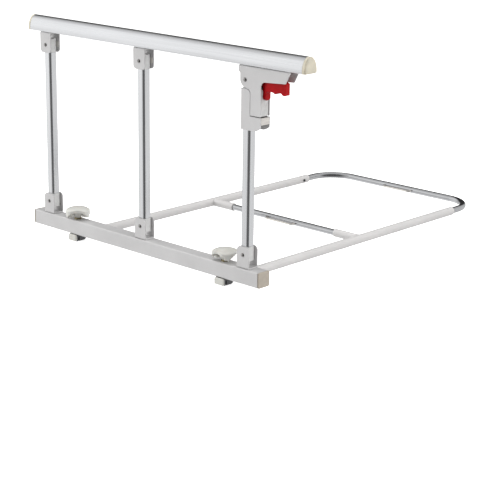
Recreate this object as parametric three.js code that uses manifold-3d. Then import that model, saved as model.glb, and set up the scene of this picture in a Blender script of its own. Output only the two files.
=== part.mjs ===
// Folding bed guard rail: a base rail that is clamped beside a mattress, a telescoping frame that
// lies under the mattress, and a handrail on three posts that folds down to the right as a
// parallelogram once the red trigger has lifted the lock bolt.
// Millimetres. +X runs along the base rail, +Y points back under the mattress, +Z is up.
// The origin is on the base rail's underside, below the middle post.

import * as THREE from 'three';
import { mergeVertices } from 'three/addons/utils/BufferGeometryUtils.js';
import Module from 'manifold-3d';

const wasm = await Module();
wasm.setup();

// Clearances shared by mating pieces
const SEAT = 0.3;
const RUNNING = 0.3;
const OVERRUN = 6;

// Layout of the three posts
const POST_SPACING = 277.5;
const POST_REACH = 327.5;
const PIN_ABOVE_RAIL = 26.2;
const PIN_BELOW_HANDRAIL = 26.4;

// Base rail and its end caps
const RAIL_SIDE = 30;
const RAIL_WALL = 1.5;
const RAIL_CORNER = 3;
const RAIL_PAST_LEFT_POST = 43.5;
const RAIL_PAST_RIGHT_POST = 39.5;
const RAIL_CAP_FLANGE = 3.5;
const RAIL_CAP_PLUG = 12;
const RAIL_CAP_BEVEL = 1.2;

// Handrail and its end caps
const HANDRAIL_WIDTH = 33;
const HANDRAIL_HEIGHT = 30;
const HANDRAIL_WALL = 1.8;
const HANDRAIL_STRAIGHT = 5;
const HANDRAIL_CORNER = 3;
const HANDRAIL_PAST_LEFT_POST = 42.5;
const HANDRAIL_PAST_RIGHT_POST = 136.5;
const HANDRAIL_CAP_LENGTH = 8;
const HANDRAIL_CAP_PLUG = 14;
const HANDRAIL_CAP_BEVEL = 2.5;

// Clevises below and brackets above, bent from sheet
const CLEVIS_SHEET = 2.5;
const CLEVIS_BEND = 3;
const LOWER_EAR = 30;
const UPPER_EAR = 32;
const EAR_PAST_PIN = 16;
const EAR_CORNER = 8;

// Pivot rivets
const PIN_RADIUS = 2.8;
const PIN_HEAD_RADIUS = 4;
const PIN_HEAD_HEIGHT = 2;

// Posts and the fittings in their ends
const POST_SIDE = 19;
const POST_WALL = 1.5;
const POST_CORNER = 4;
const POST_FROM_PIN = 16;
const FITTING_SIDE = 20;
const FITTING_PAST_PIN = 12;
const FITTING_CORNER = 3.5;
const FITTING_SPIGOT = 20;
const FITTING_BOSS_RADIUS = 5.5;
const FITTING_BOSS_HEIGHT = 1.2;

// Frame under the mattress
const SIDE_TUBE_RADIUS = 9;
const SIDE_TUBE_WALL = 1.8;
const SIDE_TUBE_LENGTH = 645;
const SIDE_TUBE_BEFORE_POST = 6;
const FRAME_WIDTH = 415.5;
const SOCKET_DEPTH_PLACE = 342.6;
const SOCKET_RADIUS = 8.4;
const SOCKET_LENGTH = 64;
const CROSSBAR_RADIUS = 6.4;
const CROSSBAR_WALL = 1.2;
const CROSSBAR_IN_SOCKET = 40;
const FRAME_DEPTH = 749;
const END_TUBE_WALL = 1.2;
const END_TUBE_BEND = 65;
const END_TUBE_IN_SIDE = 240;
const LOOP_WIRE_RADIUS = 2.1;
const LOOP_WIDTH = 76;
const LOOP_REACH = 17;
const LOOP_BEND = 8;
const SET_SCREW_RADIUS = 1.6;
const SET_SCREW_HEAD_RADIUS = 3.2;
const SET_SCREW_HEAD_HEIGHT = 1.6;
const SET_SCREW_FROM_END = 20;

// Clamps through the base rail
const CLAMP_AFTER_LEFT_POST = 76.5;
const CLAMP_BEFORE_RIGHT_POST = 56.5;
const SCREW_RADIUS = 4;
const COLLAR_ACROSS = 14;
const COLLAR_HEIGHT = 3.2;
const KNOB_RADIUS = 25.5;
const KNOB_TOP = 25.5;
const KNOB_CROWN = 8;
const KNOB_PLATE = 3.5;
const KNOB_SKIRT = 9;
const KNOB_CORE_RADIUS = 14;
const KNOB_HUB_TOP_RADIUS = 9.5;
const KNOB_HUB_FOOT_RADIUS = 6.5;
const FOOT_WIDTH = 24;
const FOOT_HEIGHT = 13.4;
const FOOT_FRONT = 13.5;
const FOOT_BACK = 11;
const FOOT_CORNER = 3;
const SHOE_THICKNESS = 3.6;
const SHOE_BEVEL = 1;
const GUIDE_PIN_RADIUS = 2;
const GUIDE_PIN_OFFSET = 8;
const GUIDE_PIN_RISE = 11;

// Latch housing under the right end of the handrail, measured from the right upper pin
const HOUSING_SHEET = 2;
const HOUSING_BEND = 2;
const HOUSING_BACK = 16;
const HOUSING_LIP = 12;
const HOUSING_LOBE_RADIUS = 14;
const HOUSING_LOBE_SHIFT = 2;
const HOUSING_SHOULDER = 15;
const HOUSING_SHOULDER_RADIUS = 9.5;
const LEG_START = 13.5;
const LEG_END = 38.5;
const LEG_DROP = 63.3;
const ARM_FILLET = 9.5;
const ARM_ROOT_RISE = 0.8;
const ARM_TIP_RISE = 3.8;
const ARM_UNDERSIDE_END = 96;
const ARM_TOP_END = 107.4;

// Lock bolt, its guide and its spring
const BOLT_OFFSET = 26;
const BOLT_TIP_RADIUS = 3.5;
const BOLT_TIP_DROP = 68;
const BOLT_ROD_RADIUS = 3;
const BOLT_COLLAR_RADIUS = 4.7;
const BOLT_COLLAR_DROP = 46;
const BOLT_COLLAR_HEIGHT = 3;
const GUIDE_TOP_DROP = 15;
const GUIDE_NECK = 9;
const GUIDE_RECESS = 1;
const GUIDE_GROOVE = 2;
const SPRING_WIRE_RADIUS = 0.45;
const SPRING_RADIUS = 4.2;
const SPRING_TURNS = 7;
const SPRING_STEPS = 8;
const SPRING_SIDES = 5;

// Trigger
const TRIGGER_THICKNESS = 12.7;
const TRIGGER_EDGE = 1.4;
const TRIGGER_LEG_START = 38.1;
const TRIGGER_LEG_END = 45.5;
const TRIGGER_LEG_FLARE = 4;
const TRIGGER_GROOVE_RISE = 3;
const TRIGGER_GROOVE_END = 59.9;
const TRIGGER_LEG_DROP = 33.7;
const TRIGGER_END = 90.7;
const TRIGGER_TAIL = 18.5;
const TRIGGER_TAIL_DROP = 9;
const TRIGGER_TAIL_RISE = 6;
const TRIGGER_TOP_RISE = 15.5;
const TRIGGER_GRIP_DROP = 19;
const TRIGGER_RECESS_RISE = 3.7;
const TRIGGER_BUMP_RISE = 0.6;
const TRIGGER_NOTCH_RISE = 2.6;
const TRIGGER_TRAVEL = 6;
const SLOT_PIN_RADIUS = 2;
const SLOT_PIN_BEFORE_END = 11;
const SLOT_PIN_RISE = 11.6;
const CROSS_PIN_RADIUS = 1.2;
const CROSS_PIN_DROP = 2.5;

// Lock sleeve and strike plate on the right post
const SLEEVE_TOP_DROP = 16.6;
const SLEEVE_BOTTOM_DROP = 91;
const SLEEVE_BACK = 11;
const SLEEVE_SHEET = 1.6;
const SLEEVE_GAP = 1.2;
const SLEEVE_CORNER = 3;
const LUG_TOP_DROP = 65;
const LUG_END = 39;
const LUG_HEIGHT = 18;
const LUG_ROUND = 17;
const STRIKE_SHEET = 2;
const STRIKE_DEPTH = 13.5;
const STRIKE_GAP = 0.5;

// Facet counts
const CORNER_STEPS = 2;
const ROUND_STEPS = 8;
const PIN_STEPS = 14;
const SECTION_STEPS = 7;
const BEND_STEPS = 5;
const DOME_STEPS = 3;
const KNOB_STEPS = 36;
const RAMP_STEPS = 5;

// Shares: scallop depth of the knob, where the knob's rim lies and how the grip's waves lie
const KNOB_LOBES = 3;
const KNOB_SCALLOP_SHARE = 0.1;
const GRIP_PLACE_SHARES = { bump: 0.26, recess: 0.61, hook: 0.88 };

// Angles in radians
const HALF_TURN = Math.PI;
const QUARTER_TURN = Math.PI / 2;
const FULL_TURN = Math.PI * 2;
const LEFT_KNOB_TURN = 0.29;
const RIGHT_KNOB_TURN = -0.58;
const LOBE_START = HALF_TURN;
const LOBE_FINISH = HALF_TURN * 1.42;
const RAMP_TURN = 0.125;

// Places worked out from the sizes above
const CLEVIS_WIDTH = FITTING_SIDE + 2 * (RUNNING + CLEVIS_SHEET);
const PIN_Z = RAIL_SIDE + PIN_ABOVE_RAIL;
const UPPER_PIN_Z = PIN_Z + POST_REACH;
const HANDRAIL_Z = UPPER_PIN_Z + PIN_BELOW_HANDRAIL;
const RAIL_LEFT = -POST_SPACING - RAIL_PAST_LEFT_POST;
const RAIL_RIGHT = POST_SPACING + RAIL_PAST_RIGHT_POST;
const HANDRAIL_LEFT = -POST_SPACING - HANDRAIL_PAST_LEFT_POST;
const HANDRAIL_RIGHT = POST_SPACING + HANDRAIL_PAST_RIGHT_POST;
const FRAME_Z = RAIL_SIDE / 2;
const SIDE_TUBE_FRONT = RAIL_SIDE / 2 + SEAT;
const SIDE_TUBE_BACK = SIDE_TUBE_FRONT + SIDE_TUBE_LENGTH;
const SIDE_RIGHT_X = POST_SPACING - SIDE_TUBE_BEFORE_POST;
const SIDE_LEFT_X = SIDE_RIGHT_X - FRAME_WIDTH;
const FRAME_MIDDLE_X = (SIDE_LEFT_X + SIDE_RIGHT_X) / 2;
const END_TUBE_RADIUS = SIDE_TUBE_RADIUS - SIDE_TUBE_WALL - RUNNING;
const CLAMP_LEFT_X = -POST_SPACING + CLAMP_AFTER_LEFT_POST;
const CLAMP_RIGHT_X = POST_SPACING - CLAMP_BEFORE_RIGHT_POST;
const POST_PLACES = { left: -POST_SPACING, middle: 0, right: POST_SPACING };
const KNOB_SEAT_Z = RAIL_SIDE + SEAT + COLLAR_HEIGHT + SEAT;
const KNOB_TOP_Z = RAIL_SIDE + KNOB_TOP;
const FOOT_TOP_Z = -2 * SEAT;
const LEG_MIDDLE = BOLT_OFFSET;
const BOLT_BORE_RADIUS = BOLT_COLLAR_RADIUS + RUNNING;
const ROD_BORE_RADIUS = BOLT_ROD_RADIUS + RUNNING;
const CHANNEL_HALF = CLEVIS_WIDTH / 2;
const GUIDE_HALF_WIDTH = CHANNEL_HALF - HOUSING_SHEET - SEAT;

// Directions that a profile is drawn in and pushed along
const X = new THREE.Vector3(1, 0, 0);
const Y = new THREE.Vector3(0, 1, 0);
const Z = new THREE.Vector3(0, 0, 1);
const ALONG = {
  x: new THREE.Matrix4().makeBasis(Y, Z, X),
  y: new THREE.Matrix4().makeBasis(X, Z, Y.clone().negate()),
  z: new THREE.Matrix4(),
};

// Booleans
function toSolid(geometry) {
  const bare = geometry.clone();
  bare.deleteAttribute('normal');
  bare.deleteAttribute('uv');
  const merged = mergeVertices(bare);
  const vertProperties = new Float32Array(merged.attributes.position.array);
  const triVerts = new Uint32Array(merged.index.array);
  return new wasm.Manifold(new wasm.Mesh({ numProp: 3, vertProperties, triVerts }));
}

function toGeometry(solid) {
  const { numProp, vertProperties, triVerts } = solid.getMesh();
  const places = [];
  for (const corner of triVerts) {
    const start = corner * numProp;
    places.push(vertProperties[start], vertProperties[start + 1], vertProperties[start + 2]);
  }
  const geometry = new THREE.BufferGeometry();
  geometry.setAttribute('position', new THREE.Float32BufferAttribute(places, 3));
  geometry.computeVertexNormals();
  return geometry;
}

function join(first, ...others) {
  return others.reduce((whole, other) => whole.add(other), first);
}

function cut(first, ...others) {
  return others.reduce((whole, other) => whole.subtract(other), first);
}

// A profile drawn in YZ, XZ or XY and pushed along X, Y or Z from one place to another
function prism(shape, axis, from, to, steps = CORNER_STEPS, options = {}) {
  const settings = { depth: to - from, bevelEnabled: false, curveSegments: steps, ...options };
  const geometry = new THREE.ExtrudeGeometry(shape, settings);
  geometry.translate(0, 0, axis === 'y' ? -to : from);
  geometry.applyMatrix4(ALONG[axis]);
  return toSolid(geometry);
}

function circle(radius, u = 0, v = 0) {
  const shape = new THREE.Shape();
  shape.absarc(u, v, radius, 0, FULL_TURN, false);
  return shape;
}

function rod(axis, radius, from, to, u = 0, v = 0, steps = ROUND_STEPS) {
  return prism(circle(radius, u, v), axis, from, to, steps);
}

function roundedRect(width, height, radius, u = 0, v = 0) {
  const right = u + width / 2;
  const left = u - width / 2;
  const top = v + height / 2;
  const bottom = v - height / 2;
  const shape = new THREE.Shape();
  shape.moveTo(left + radius, bottom);
  shape.lineTo(right - radius, bottom);
  shape.absarc(right - radius, bottom + radius, radius, -QUARTER_TURN, 0, false);
  shape.lineTo(right, top - radius);
  shape.absarc(right - radius, top - radius, radius, 0, QUARTER_TURN, false);
  shape.lineTo(left + radius, top);
  shape.absarc(left + radius, top - radius, radius, QUARTER_TURN, HALF_TURN, false);
  shape.lineTo(left, bottom + radius);
  shape.absarc(left + radius, bottom + radius, radius, HALF_TURN, HALF_TURN + QUARTER_TURN, false);
  return shape;
}

function rectangle(left, right, bottom, top) {
  const shape = new THREE.Shape();
  shape.moveTo(left, bottom);
  shape.lineTo(right, bottom);
  shape.lineTo(right, top);
  shape.lineTo(left, top);
  return shape;
}

function block(from, to) {
  return prism(rectangle(from[0], to[0], from[1], to[1]), 'z', from[2], to[2]);
}

// A turned solid about the Y axis, from its profile of [radius, height] pairs
function turned(profile, steps = PIN_STEPS) {
  const points = profile.map(([radius, height]) => new THREE.Vector2(radius, height));
  return toSolid(new THREE.LatheGeometry(points, steps));
}

function turnedUp(profile, steps = PIN_STEPS) {
  const points = profile.map(([radius, height]) => new THREE.Vector2(radius, height));
  const geometry = new THREE.LatheGeometry(points, steps);
  geometry.rotateX(QUARTER_TURN);
  return toSolid(geometry);
}

// A route of straight runs and bends that is sampled at its own points
class Route extends THREE.Curve {
  constructor(points) {
    super();
    this.points = points;
  }

  getPoint(t, target = new THREE.Vector3()) {
    return target.copy(this.points[Math.round(t * (this.points.length - 1))]);
  }

  getTangent(t, target = new THREE.Vector3()) {
    const last = this.points.length - 1;
    const here = Math.round(t * last);
    const before = this.points[Math.max(here - 1, 0)];
    const after = this.points[Math.min(here + 1, last)];
    const place = this.points[here];
    const arriving = place.clone().sub(before).normalize();
    const leaving = after.clone().sub(place).normalize();
    return target.copy(arriving).add(leaving).normalize();
  }

  getUtoTmapping(u) {
    return u;
  }
}

// Points of a U that opens towards +Y or -Y in a level plane, with round corners
function bentU(left, right, open, closed, bend, steps = BEND_STEPS) {
  const side = Math.sign(closed - open);
  const points = [new THREE.Vector3(left, open, 0)];
  for (let step = 0; step <= steps; step += 1) {
    const turn = (step / steps) * QUARTER_TURN;
    const across = left + bend - bend * Math.cos(turn);
    points.push(new THREE.Vector3(across, closed - side * (bend - bend * Math.sin(turn)), 0));
  }
  for (let step = steps; step >= 0; step -= 1) {
    const turn = (step / steps) * QUARTER_TURN;
    const across = right - bend + bend * Math.cos(turn);
    points.push(new THREE.Vector3(across, closed - side * (bend - bend * Math.sin(turn)), 0));
  }
  points.push(new THREE.Vector3(right, open, 0));
  return points;
}

function sweep(points, radius, steps = ROUND_STEPS) {
  const settings = { steps: points.length - 1, extrudePath: new Route(points), curveSegments: steps };
  return toSolid(new THREE.ExtrudeGeometry(circle(radius), settings));
}

// Looks of the materials
const LOOKS = {
  silverPaint: { color: 0xcfcfcf, roughness: 0.45, metalness: 0.3 },
  whitePaint: { color: 0xe6e5e3, roughness: 0.4, metalness: 0 },
  anodised: { color: 0xc9cacc, roughness: 0.32, metalness: 0.9 },
  chrome: { color: 0xb9bcc0, roughness: 0.12, metalness: 1 },
  ivory: { color: 0xddd8ca, roughness: 0.5, metalness: 0 },
  beige: { color: 0xb5ada0, roughness: 0.55, metalness: 0 },
  offWhite: { color: 0xdcdcd6, roughness: 0.45, metalness: 0 },
  fitting: { color: 0xc8c8c8, roughness: 0.5, metalness: 0 },
  nickel: { color: 0xd0d0d0, roughness: 0.15, metalness: 1 },
  yellowZinc: { color: 0xb9a868, roughness: 0.35, metalness: 0.9 },
  darkSteel: { color: 0x4a4a4c, roughness: 0.45, metalness: 0.8 },
  brightSteel: { color: 0xd6d4d2, roughness: 0.25, metalness: 0.9 },
  red: { color: 0xb41018, roughness: 0.35, metalness: 0 },
  black: { color: 0x1c1c1e, roughness: 0.4, metalness: 0.3 },
};

function piece(name, solid, look, place = [0, 0, 0]) {
  const mesh = new THREE.Mesh(toGeometry(solid), new THREE.MeshStandardMaterial(LOOKS[look]));
  mesh.name = name;
  mesh.position.set(...place);
  return mesh;
}

// Base rail, with the holes that the clamp screws and their guide pins pass through
function baseRail() {
  const middle = RAIL_SIDE / 2;
  const inner = RAIL_SIDE - 2 * RAIL_WALL;
  const outline = roundedRect(RAIL_SIDE, RAIL_SIDE, RAIL_CORNER, 0, middle);
  const bore = roundedRect(inner, inner, RAIL_CORNER - RAIL_WALL, 0, middle);
  const cuts = [prism(bore, 'x', RAIL_LEFT - OVERRUN, RAIL_RIGHT + OVERRUN)];
  for (const x of [CLAMP_LEFT_X, CLAMP_RIGHT_X]) {
    cuts.push(rod('z', SCREW_RADIUS + RUNNING, -OVERRUN, RAIL_SIDE + OVERRUN, x));
    const pinX = x + GUIDE_PIN_OFFSET;
    cuts.push(rod('z', GUIDE_PIN_RADIUS + RUNNING, -OVERRUN, RAIL_WALL + OVERRUN, pinX));
  }
  return cut(prism(outline, 'x', RAIL_LEFT, RAIL_RIGHT), ...cuts);
}

// Cap for the right end, with its flange face at x = 0 and its plug towards -X
function railCap() {
  const plugSide = RAIL_SIDE - 2 * (RAIL_WALL + SEAT);
  const plugCorner = RAIL_CORNER - RAIL_WALL;
  const plug = prism(roundedRect(plugSide, plugSide, plugCorner), 'x', -RAIL_CAP_PLUG, RAIL_CAP_BEVEL);
  const bevel = {
    bevelEnabled: true,
    bevelThickness: RAIL_CAP_BEVEL,
    bevelSize: RAIL_CAP_BEVEL,
    bevelOffset: -RAIL_CAP_BEVEL,
    bevelSegments: 2,
  };
  const outline = roundedRect(RAIL_SIDE, RAIL_SIDE, RAIL_CORNER);
  const end = RAIL_CAP_FLANGE - RAIL_CAP_BEVEL;
  const flange = prism(outline, 'x', -RAIL_CAP_FLANGE, end, CORNER_STEPS, bevel);
  const wide = RAIL_SIDE;
  const behind = block([-RAIL_CAP_FLANGE - wide, -wide, -wide], [0, wide, wide]);
  return join(cut(flange, behind), plug);
}

// Handrail section: a flat underside, short upright sides and a half-ellipse over them
function handrailSection(inset) {
  const half = HANDRAIL_WIDTH / 2 - inset;
  const corner = Math.max(HANDRAIL_CORNER - inset, HANDRAIL_CORNER / 4);
  const crown = HANDRAIL_HEIGHT - HANDRAIL_STRAIGHT - inset;
  const shape = new THREE.Shape();
  shape.moveTo(-half + corner, inset);
  shape.lineTo(half - corner, inset);
  shape.absarc(half - corner, inset + corner, corner, -QUARTER_TURN, 0, false);
  shape.lineTo(half, HANDRAIL_STRAIGHT);
  shape.absellipse(0, HANDRAIL_STRAIGHT, half, crown, 0, HALF_TURN, false, 0);
  shape.lineTo(-half, inset + corner);
  shape.absarc(-half + corner, inset + corner, corner, HALF_TURN, HALF_TURN + QUARTER_TURN, false);
  return shape;
}

function handrail() {
  const outer = prism(handrailSection(0), 'x', HANDRAIL_LEFT, HANDRAIL_RIGHT, SECTION_STEPS);
  const from = HANDRAIL_LEFT - OVERRUN;
  const to = HANDRAIL_RIGHT + OVERRUN;
  return cut(outer, prism(handrailSection(HANDRAIL_WALL), 'x', from, to, SECTION_STEPS));
}

// Cap for the handrail's right end, with its inner face at x = 0
function handrailCap() {
  const bevel = {
    bevelEnabled: true,
    bevelThickness: HANDRAIL_CAP_BEVEL,
    bevelSize: HANDRAIL_CAP_BEVEL,
    bevelOffset: -HANDRAIL_CAP_BEVEL,
    bevelSegments: 3,
  };
  const end = HANDRAIL_CAP_LENGTH - HANDRAIL_CAP_BEVEL;
  const head = prism(handrailSection(0), 'x', -HANDRAIL_CAP_LENGTH, end, SECTION_STEPS, bevel);
  const wide = HANDRAIL_WIDTH;
  const back = -HANDRAIL_CAP_LENGTH - wide;
  const behind = block([back, -wide, -wide], [0, wide, wide]);
  const section = handrailSection(HANDRAIL_WALL + SEAT);
  const plug = prism(section, 'x', -HANDRAIL_CAP_PLUG, HANDRAIL_CAP_BEVEL, SECTION_STEPS);
  return join(cut(head, behind), plug);
}

// Clevis about its pin, seated below the pin; the ears have round corners at the top
function clevis(earWidth, pinToSeat) {
  const bottom = SEAT - pinToSeat;
  const height = EAR_PAST_PIN - bottom;
  const middle = bottom + height / 2;
  const outer = roundedRect(CLEVIS_WIDTH, 2 * height, CLEVIS_BEND, 0, EAR_PAST_PIN);
  const innerHalf = CLEVIS_WIDTH / 2 - CLEVIS_SHEET;
  const above = EAR_PAST_PIN + height + OVERRUN;
  const inner = rectangle(-innerHalf, innerHalf, bottom + CLEVIS_SHEET, above);
  const channel = cut(
    prism(outer, 'x', -earWidth / 2, earWidth / 2),
    prism(inner, 'x', -earWidth / 2 - OVERRUN, earWidth / 2 + OVERRUN),
  );
  const square = EAR_CORNER * 2;
  const crown = roundedRect(earWidth, square, EAR_CORNER, 0, EAR_PAST_PIN - EAR_CORNER);
  const body = rectangle(-earWidth / 2, earWidth / 2, bottom - OVERRUN, EAR_PAST_PIN - EAR_CORNER);
  const half = CLEVIS_WIDTH / 2 + OVERRUN;
  const outline = join(prism(crown, 'y', -half, half, BEND_STEPS), prism(body, 'y', -half, half));
  const hole = rod('y', PIN_RADIUS + RUNNING, -half, half);
  return cut(channel.intersect(outline), hole, block(
    [-earWidth, -CLEVIS_WIDTH, middle + height],
    [earWidth, CLEVIS_WIDTH, middle + 2 * height],
  ));
}

// Rivet along Y, with a domed head over each outer face
function rivet(acrossFaces) {
  const face = acrossFaces / 2 + SEAT;
  const profile = [];
  for (let step = 0; step <= DOME_STEPS; step += 1) {
    const turn = (step / DOME_STEPS) * QUARTER_TURN;
    profile.push([PIN_HEAD_RADIUS * Math.sin(turn), -face - PIN_HEAD_HEIGHT * Math.cos(turn)]);
  }
  profile.push([PIN_RADIUS, -face]);
  profile.push([PIN_RADIUS, face]);
  for (let step = DOME_STEPS; step >= 0; step -= 1) {
    const turn = (step / DOME_STEPS) * QUARTER_TURN;
    profile.push([PIN_HEAD_RADIUS * Math.sin(turn), face + PIN_HEAD_HEIGHT * Math.cos(turn)]);
  }
  profile[0][0] = 0;
  profile[profile.length - 1][0] = 0;
  return turned(profile);
}

// Post tube, with the lower pin at the origin
function postTube() {
  const inner = POST_SIDE - 2 * POST_WALL;
  const from = POST_FROM_PIN;
  const to = POST_REACH - POST_FROM_PIN;
  const outer = prism(roundedRect(POST_SIDE, POST_SIDE, POST_CORNER), 'z', from, to);
  const bore = roundedRect(inner, inner, POST_CORNER - POST_WALL);
  return cut(outer, prism(bore, 'z', from - OVERRUN, to + OVERRUN));
}

// Fitting for the lower end of a post: a block round the pin and a spigot up into the tube
function endFitting() {
  const half = FITTING_SIDE / 2;
  const cheek = half - FITTING_BOSS_HEIGHT;
  const top = POST_FROM_PIN - SEAT;
  const side = new THREE.Shape();
  side.moveTo(-half + FITTING_CORNER, -FITTING_PAST_PIN);
  side.lineTo(half - FITTING_CORNER, -FITTING_PAST_PIN);
  side.lineTo(half, -FITTING_PAST_PIN + FITTING_CORNER);
  side.lineTo(half, top);
  side.lineTo(-half, top);
  side.lineTo(-half, -FITTING_PAST_PIN + FITTING_CORNER);
  const plan = roundedRect(FITTING_SIDE, 2 * cheek, POST_CORNER);
  const head = prism(side, 'y', -half, half).intersect(prism(plan, 'z', -FITTING_PAST_PIN, top));
  const boss = rod('y', FITTING_BOSS_RADIUS, -half, half);
  const spigotSide = POST_SIDE - 2 * (POST_WALL + SEAT);
  const spigotPlan = roundedRect(spigotSide, spigotSide, POST_CORNER - POST_WALL);
  const spigot = prism(spigotPlan, 'z', POST_FROM_PIN - FITTING_CORNER, POST_FROM_PIN + FITTING_SPIGOT);
  const hole = rod('y', PIN_RADIUS + RUNNING, -half - OVERRUN, half + OVERRUN);
  return cut(join(head, boss, spigot), hole);
}

function post(name, x) {
  const group = new THREE.Group();
  group.position.set(x, 0, PIN_Z);
  group.add(piece(`post_tube_${name}`, postTube(), 'anodised'));
  group.add(piece(`lower_post_fitting_${name}`, endFitting(), 'fitting'));
  const upper = piece(`upper_post_fitting_${name}`, endFitting(), 'fitting', [0, 0, POST_REACH]);
  upper.rotation.x = HALF_TURN;
  group.add(upper);
  return group;
}

// Side tube along Y, open at the back, with a hole for its set screw on the inner side
function sideTube(x, inward) {
  const from = SIDE_TUBE_FRONT;
  const to = SIDE_TUBE_BACK;
  const outer = rod('y', SIDE_TUBE_RADIUS, from, to, x, FRAME_Z);
  const bore = rod('y', SIDE_TUBE_RADIUS - SIDE_TUBE_WALL, from - OVERRUN, to + OVERRUN, x, FRAME_Z);
  const y = to - SET_SCREW_FROM_END;
  const reach = inward * (SIDE_TUBE_RADIUS + OVERRUN);
  const low = Math.min(x, x + reach);
  const high = Math.max(x, x + reach);
  const hole = rod('x', SET_SCREW_RADIUS + SEAT, low, high, y, FRAME_Z);
  return cut(outer, bore, hole);
}

// Set screw that points along +X, with the side tube's centre at the origin
function setScrew() {
  const face = SIDE_TUBE_RADIUS + SEAT;
  const profile = [
    [0, END_TUBE_RADIUS + SEAT],
    [SET_SCREW_RADIUS, END_TUBE_RADIUS + SEAT],
    [SET_SCREW_RADIUS, face],
    [SET_SCREW_HEAD_RADIUS, face],
    [SET_SCREW_HEAD_RADIUS, face + SET_SCREW_HEAD_HEIGHT / 2],
    [SET_SCREW_HEAD_RADIUS / 2, face + SET_SCREW_HEAD_HEIGHT],
    [0, face + SET_SCREW_HEAD_HEIGHT],
  ];
  return turned(profile);
}

// Socket that is saddled on a side tube and takes an end of the crossbar
function socket(sideX, inward) {
  const end = sideX + inward * SOCKET_LENGTH;
  const from = Math.min(sideX, end);
  const to = Math.max(sideX, end);
  const y = SOCKET_DEPTH_PLACE;
  const outer = rod('x', SOCKET_RADIUS, from, to, y, FRAME_Z);
  const bore = rod('x', CROSSBAR_RADIUS + SEAT, from - OVERRUN, to + OVERRUN, y, FRAME_Z);
  const reach = 2 * SOCKET_RADIUS;
  const saddle = rod('y', SIDE_TUBE_RADIUS + SEAT, y - reach, y + reach, sideX, FRAME_Z);
  return cut(outer, bore, saddle);
}

function crossbar() {
  const inset = SOCKET_LENGTH - CROSSBAR_IN_SOCKET;
  const from = SIDE_LEFT_X + inset;
  const to = SIDE_RIGHT_X - inset;
  const y = SOCKET_DEPTH_PLACE;
  const outer = rod('x', CROSSBAR_RADIUS, from, to, y, FRAME_Z);
  const bore = rod('x', CROSSBAR_RADIUS - CROSSBAR_WALL, from - OVERRUN, to + OVERRUN, y, FRAME_Z);
  return cut(outer, bore);
}

// Chrome U whose legs slide in the side tubes
function endTube() {
  const open = SIDE_TUBE_BACK - END_TUBE_IN_SIDE;
  const route = bentU(SIDE_LEFT_X, SIDE_RIGHT_X, open, FRAME_DEPTH, END_TUBE_BEND);
  const longer = bentU(SIDE_LEFT_X, SIDE_RIGHT_X, open - OVERRUN, FRAME_DEPTH, END_TUBE_BEND);
  const inner = END_TUBE_RADIUS - END_TUBE_WALL;
  return cut(sweep(route, END_TUBE_RADIUS), sweep(longer, inner));
}

// Wire loop for a strap, welded to the front of a bar
function strapLoop(barY, barRadius) {
  const half = LOOP_WIDTH / 2;
  const open = barY - barRadius - SEAT;
  const closed = barY - LOOP_REACH;
  const left = FRAME_MIDDLE_X - half;
  const right = FRAME_MIDDLE_X + half;
  const route = bentU(left, right, open, closed, LOOP_BEND, BEND_STEPS);
  return sweep(route, LOOP_WIRE_RADIUS, BEND_STEPS);
}

// Hexagonal collar on the rail's top
function collar() {
  const outline = new THREE.Shape();
  const corner = COLLAR_ACROSS / Math.sqrt(3);
  for (let side = 0; side < 6; side += 1) {
    const turn = (side / 6) * FULL_TURN;
    const place = [corner * Math.cos(turn), corner * Math.sin(turn)];
    if (side === 0) outline.moveTo(...place);
    else outline.lineTo(...place);
  }
  const hole = rod('z', SCREW_RADIUS + RUNNING, -OVERRUN, COLLAR_HEIGHT + OVERRUN);
  return cut(prism(outline, 'z', 0, COLLAR_HEIGHT), hole);
}

// Knob with three lobes under a crowned top; z = 0 is where its hub meets the collar
function knobOutline(reach) {
  const outline = new THREE.Shape();
  for (let step = 0; step < KNOB_STEPS; step += 1) {
    const turn = (step / KNOB_STEPS) * FULL_TURN;
    const wave = (1 - Math.cos(KNOB_LOBES * turn)) / 2;
    const radius = reach * (1 - 2 * KNOB_SCALLOP_SHARE * wave * wave);
    const place = [radius * Math.cos(turn), radius * Math.sin(turn)];
    if (step === 0) outline.moveTo(...place);
    else outline.lineTo(...place);
  }
  return outline;
}

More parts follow.
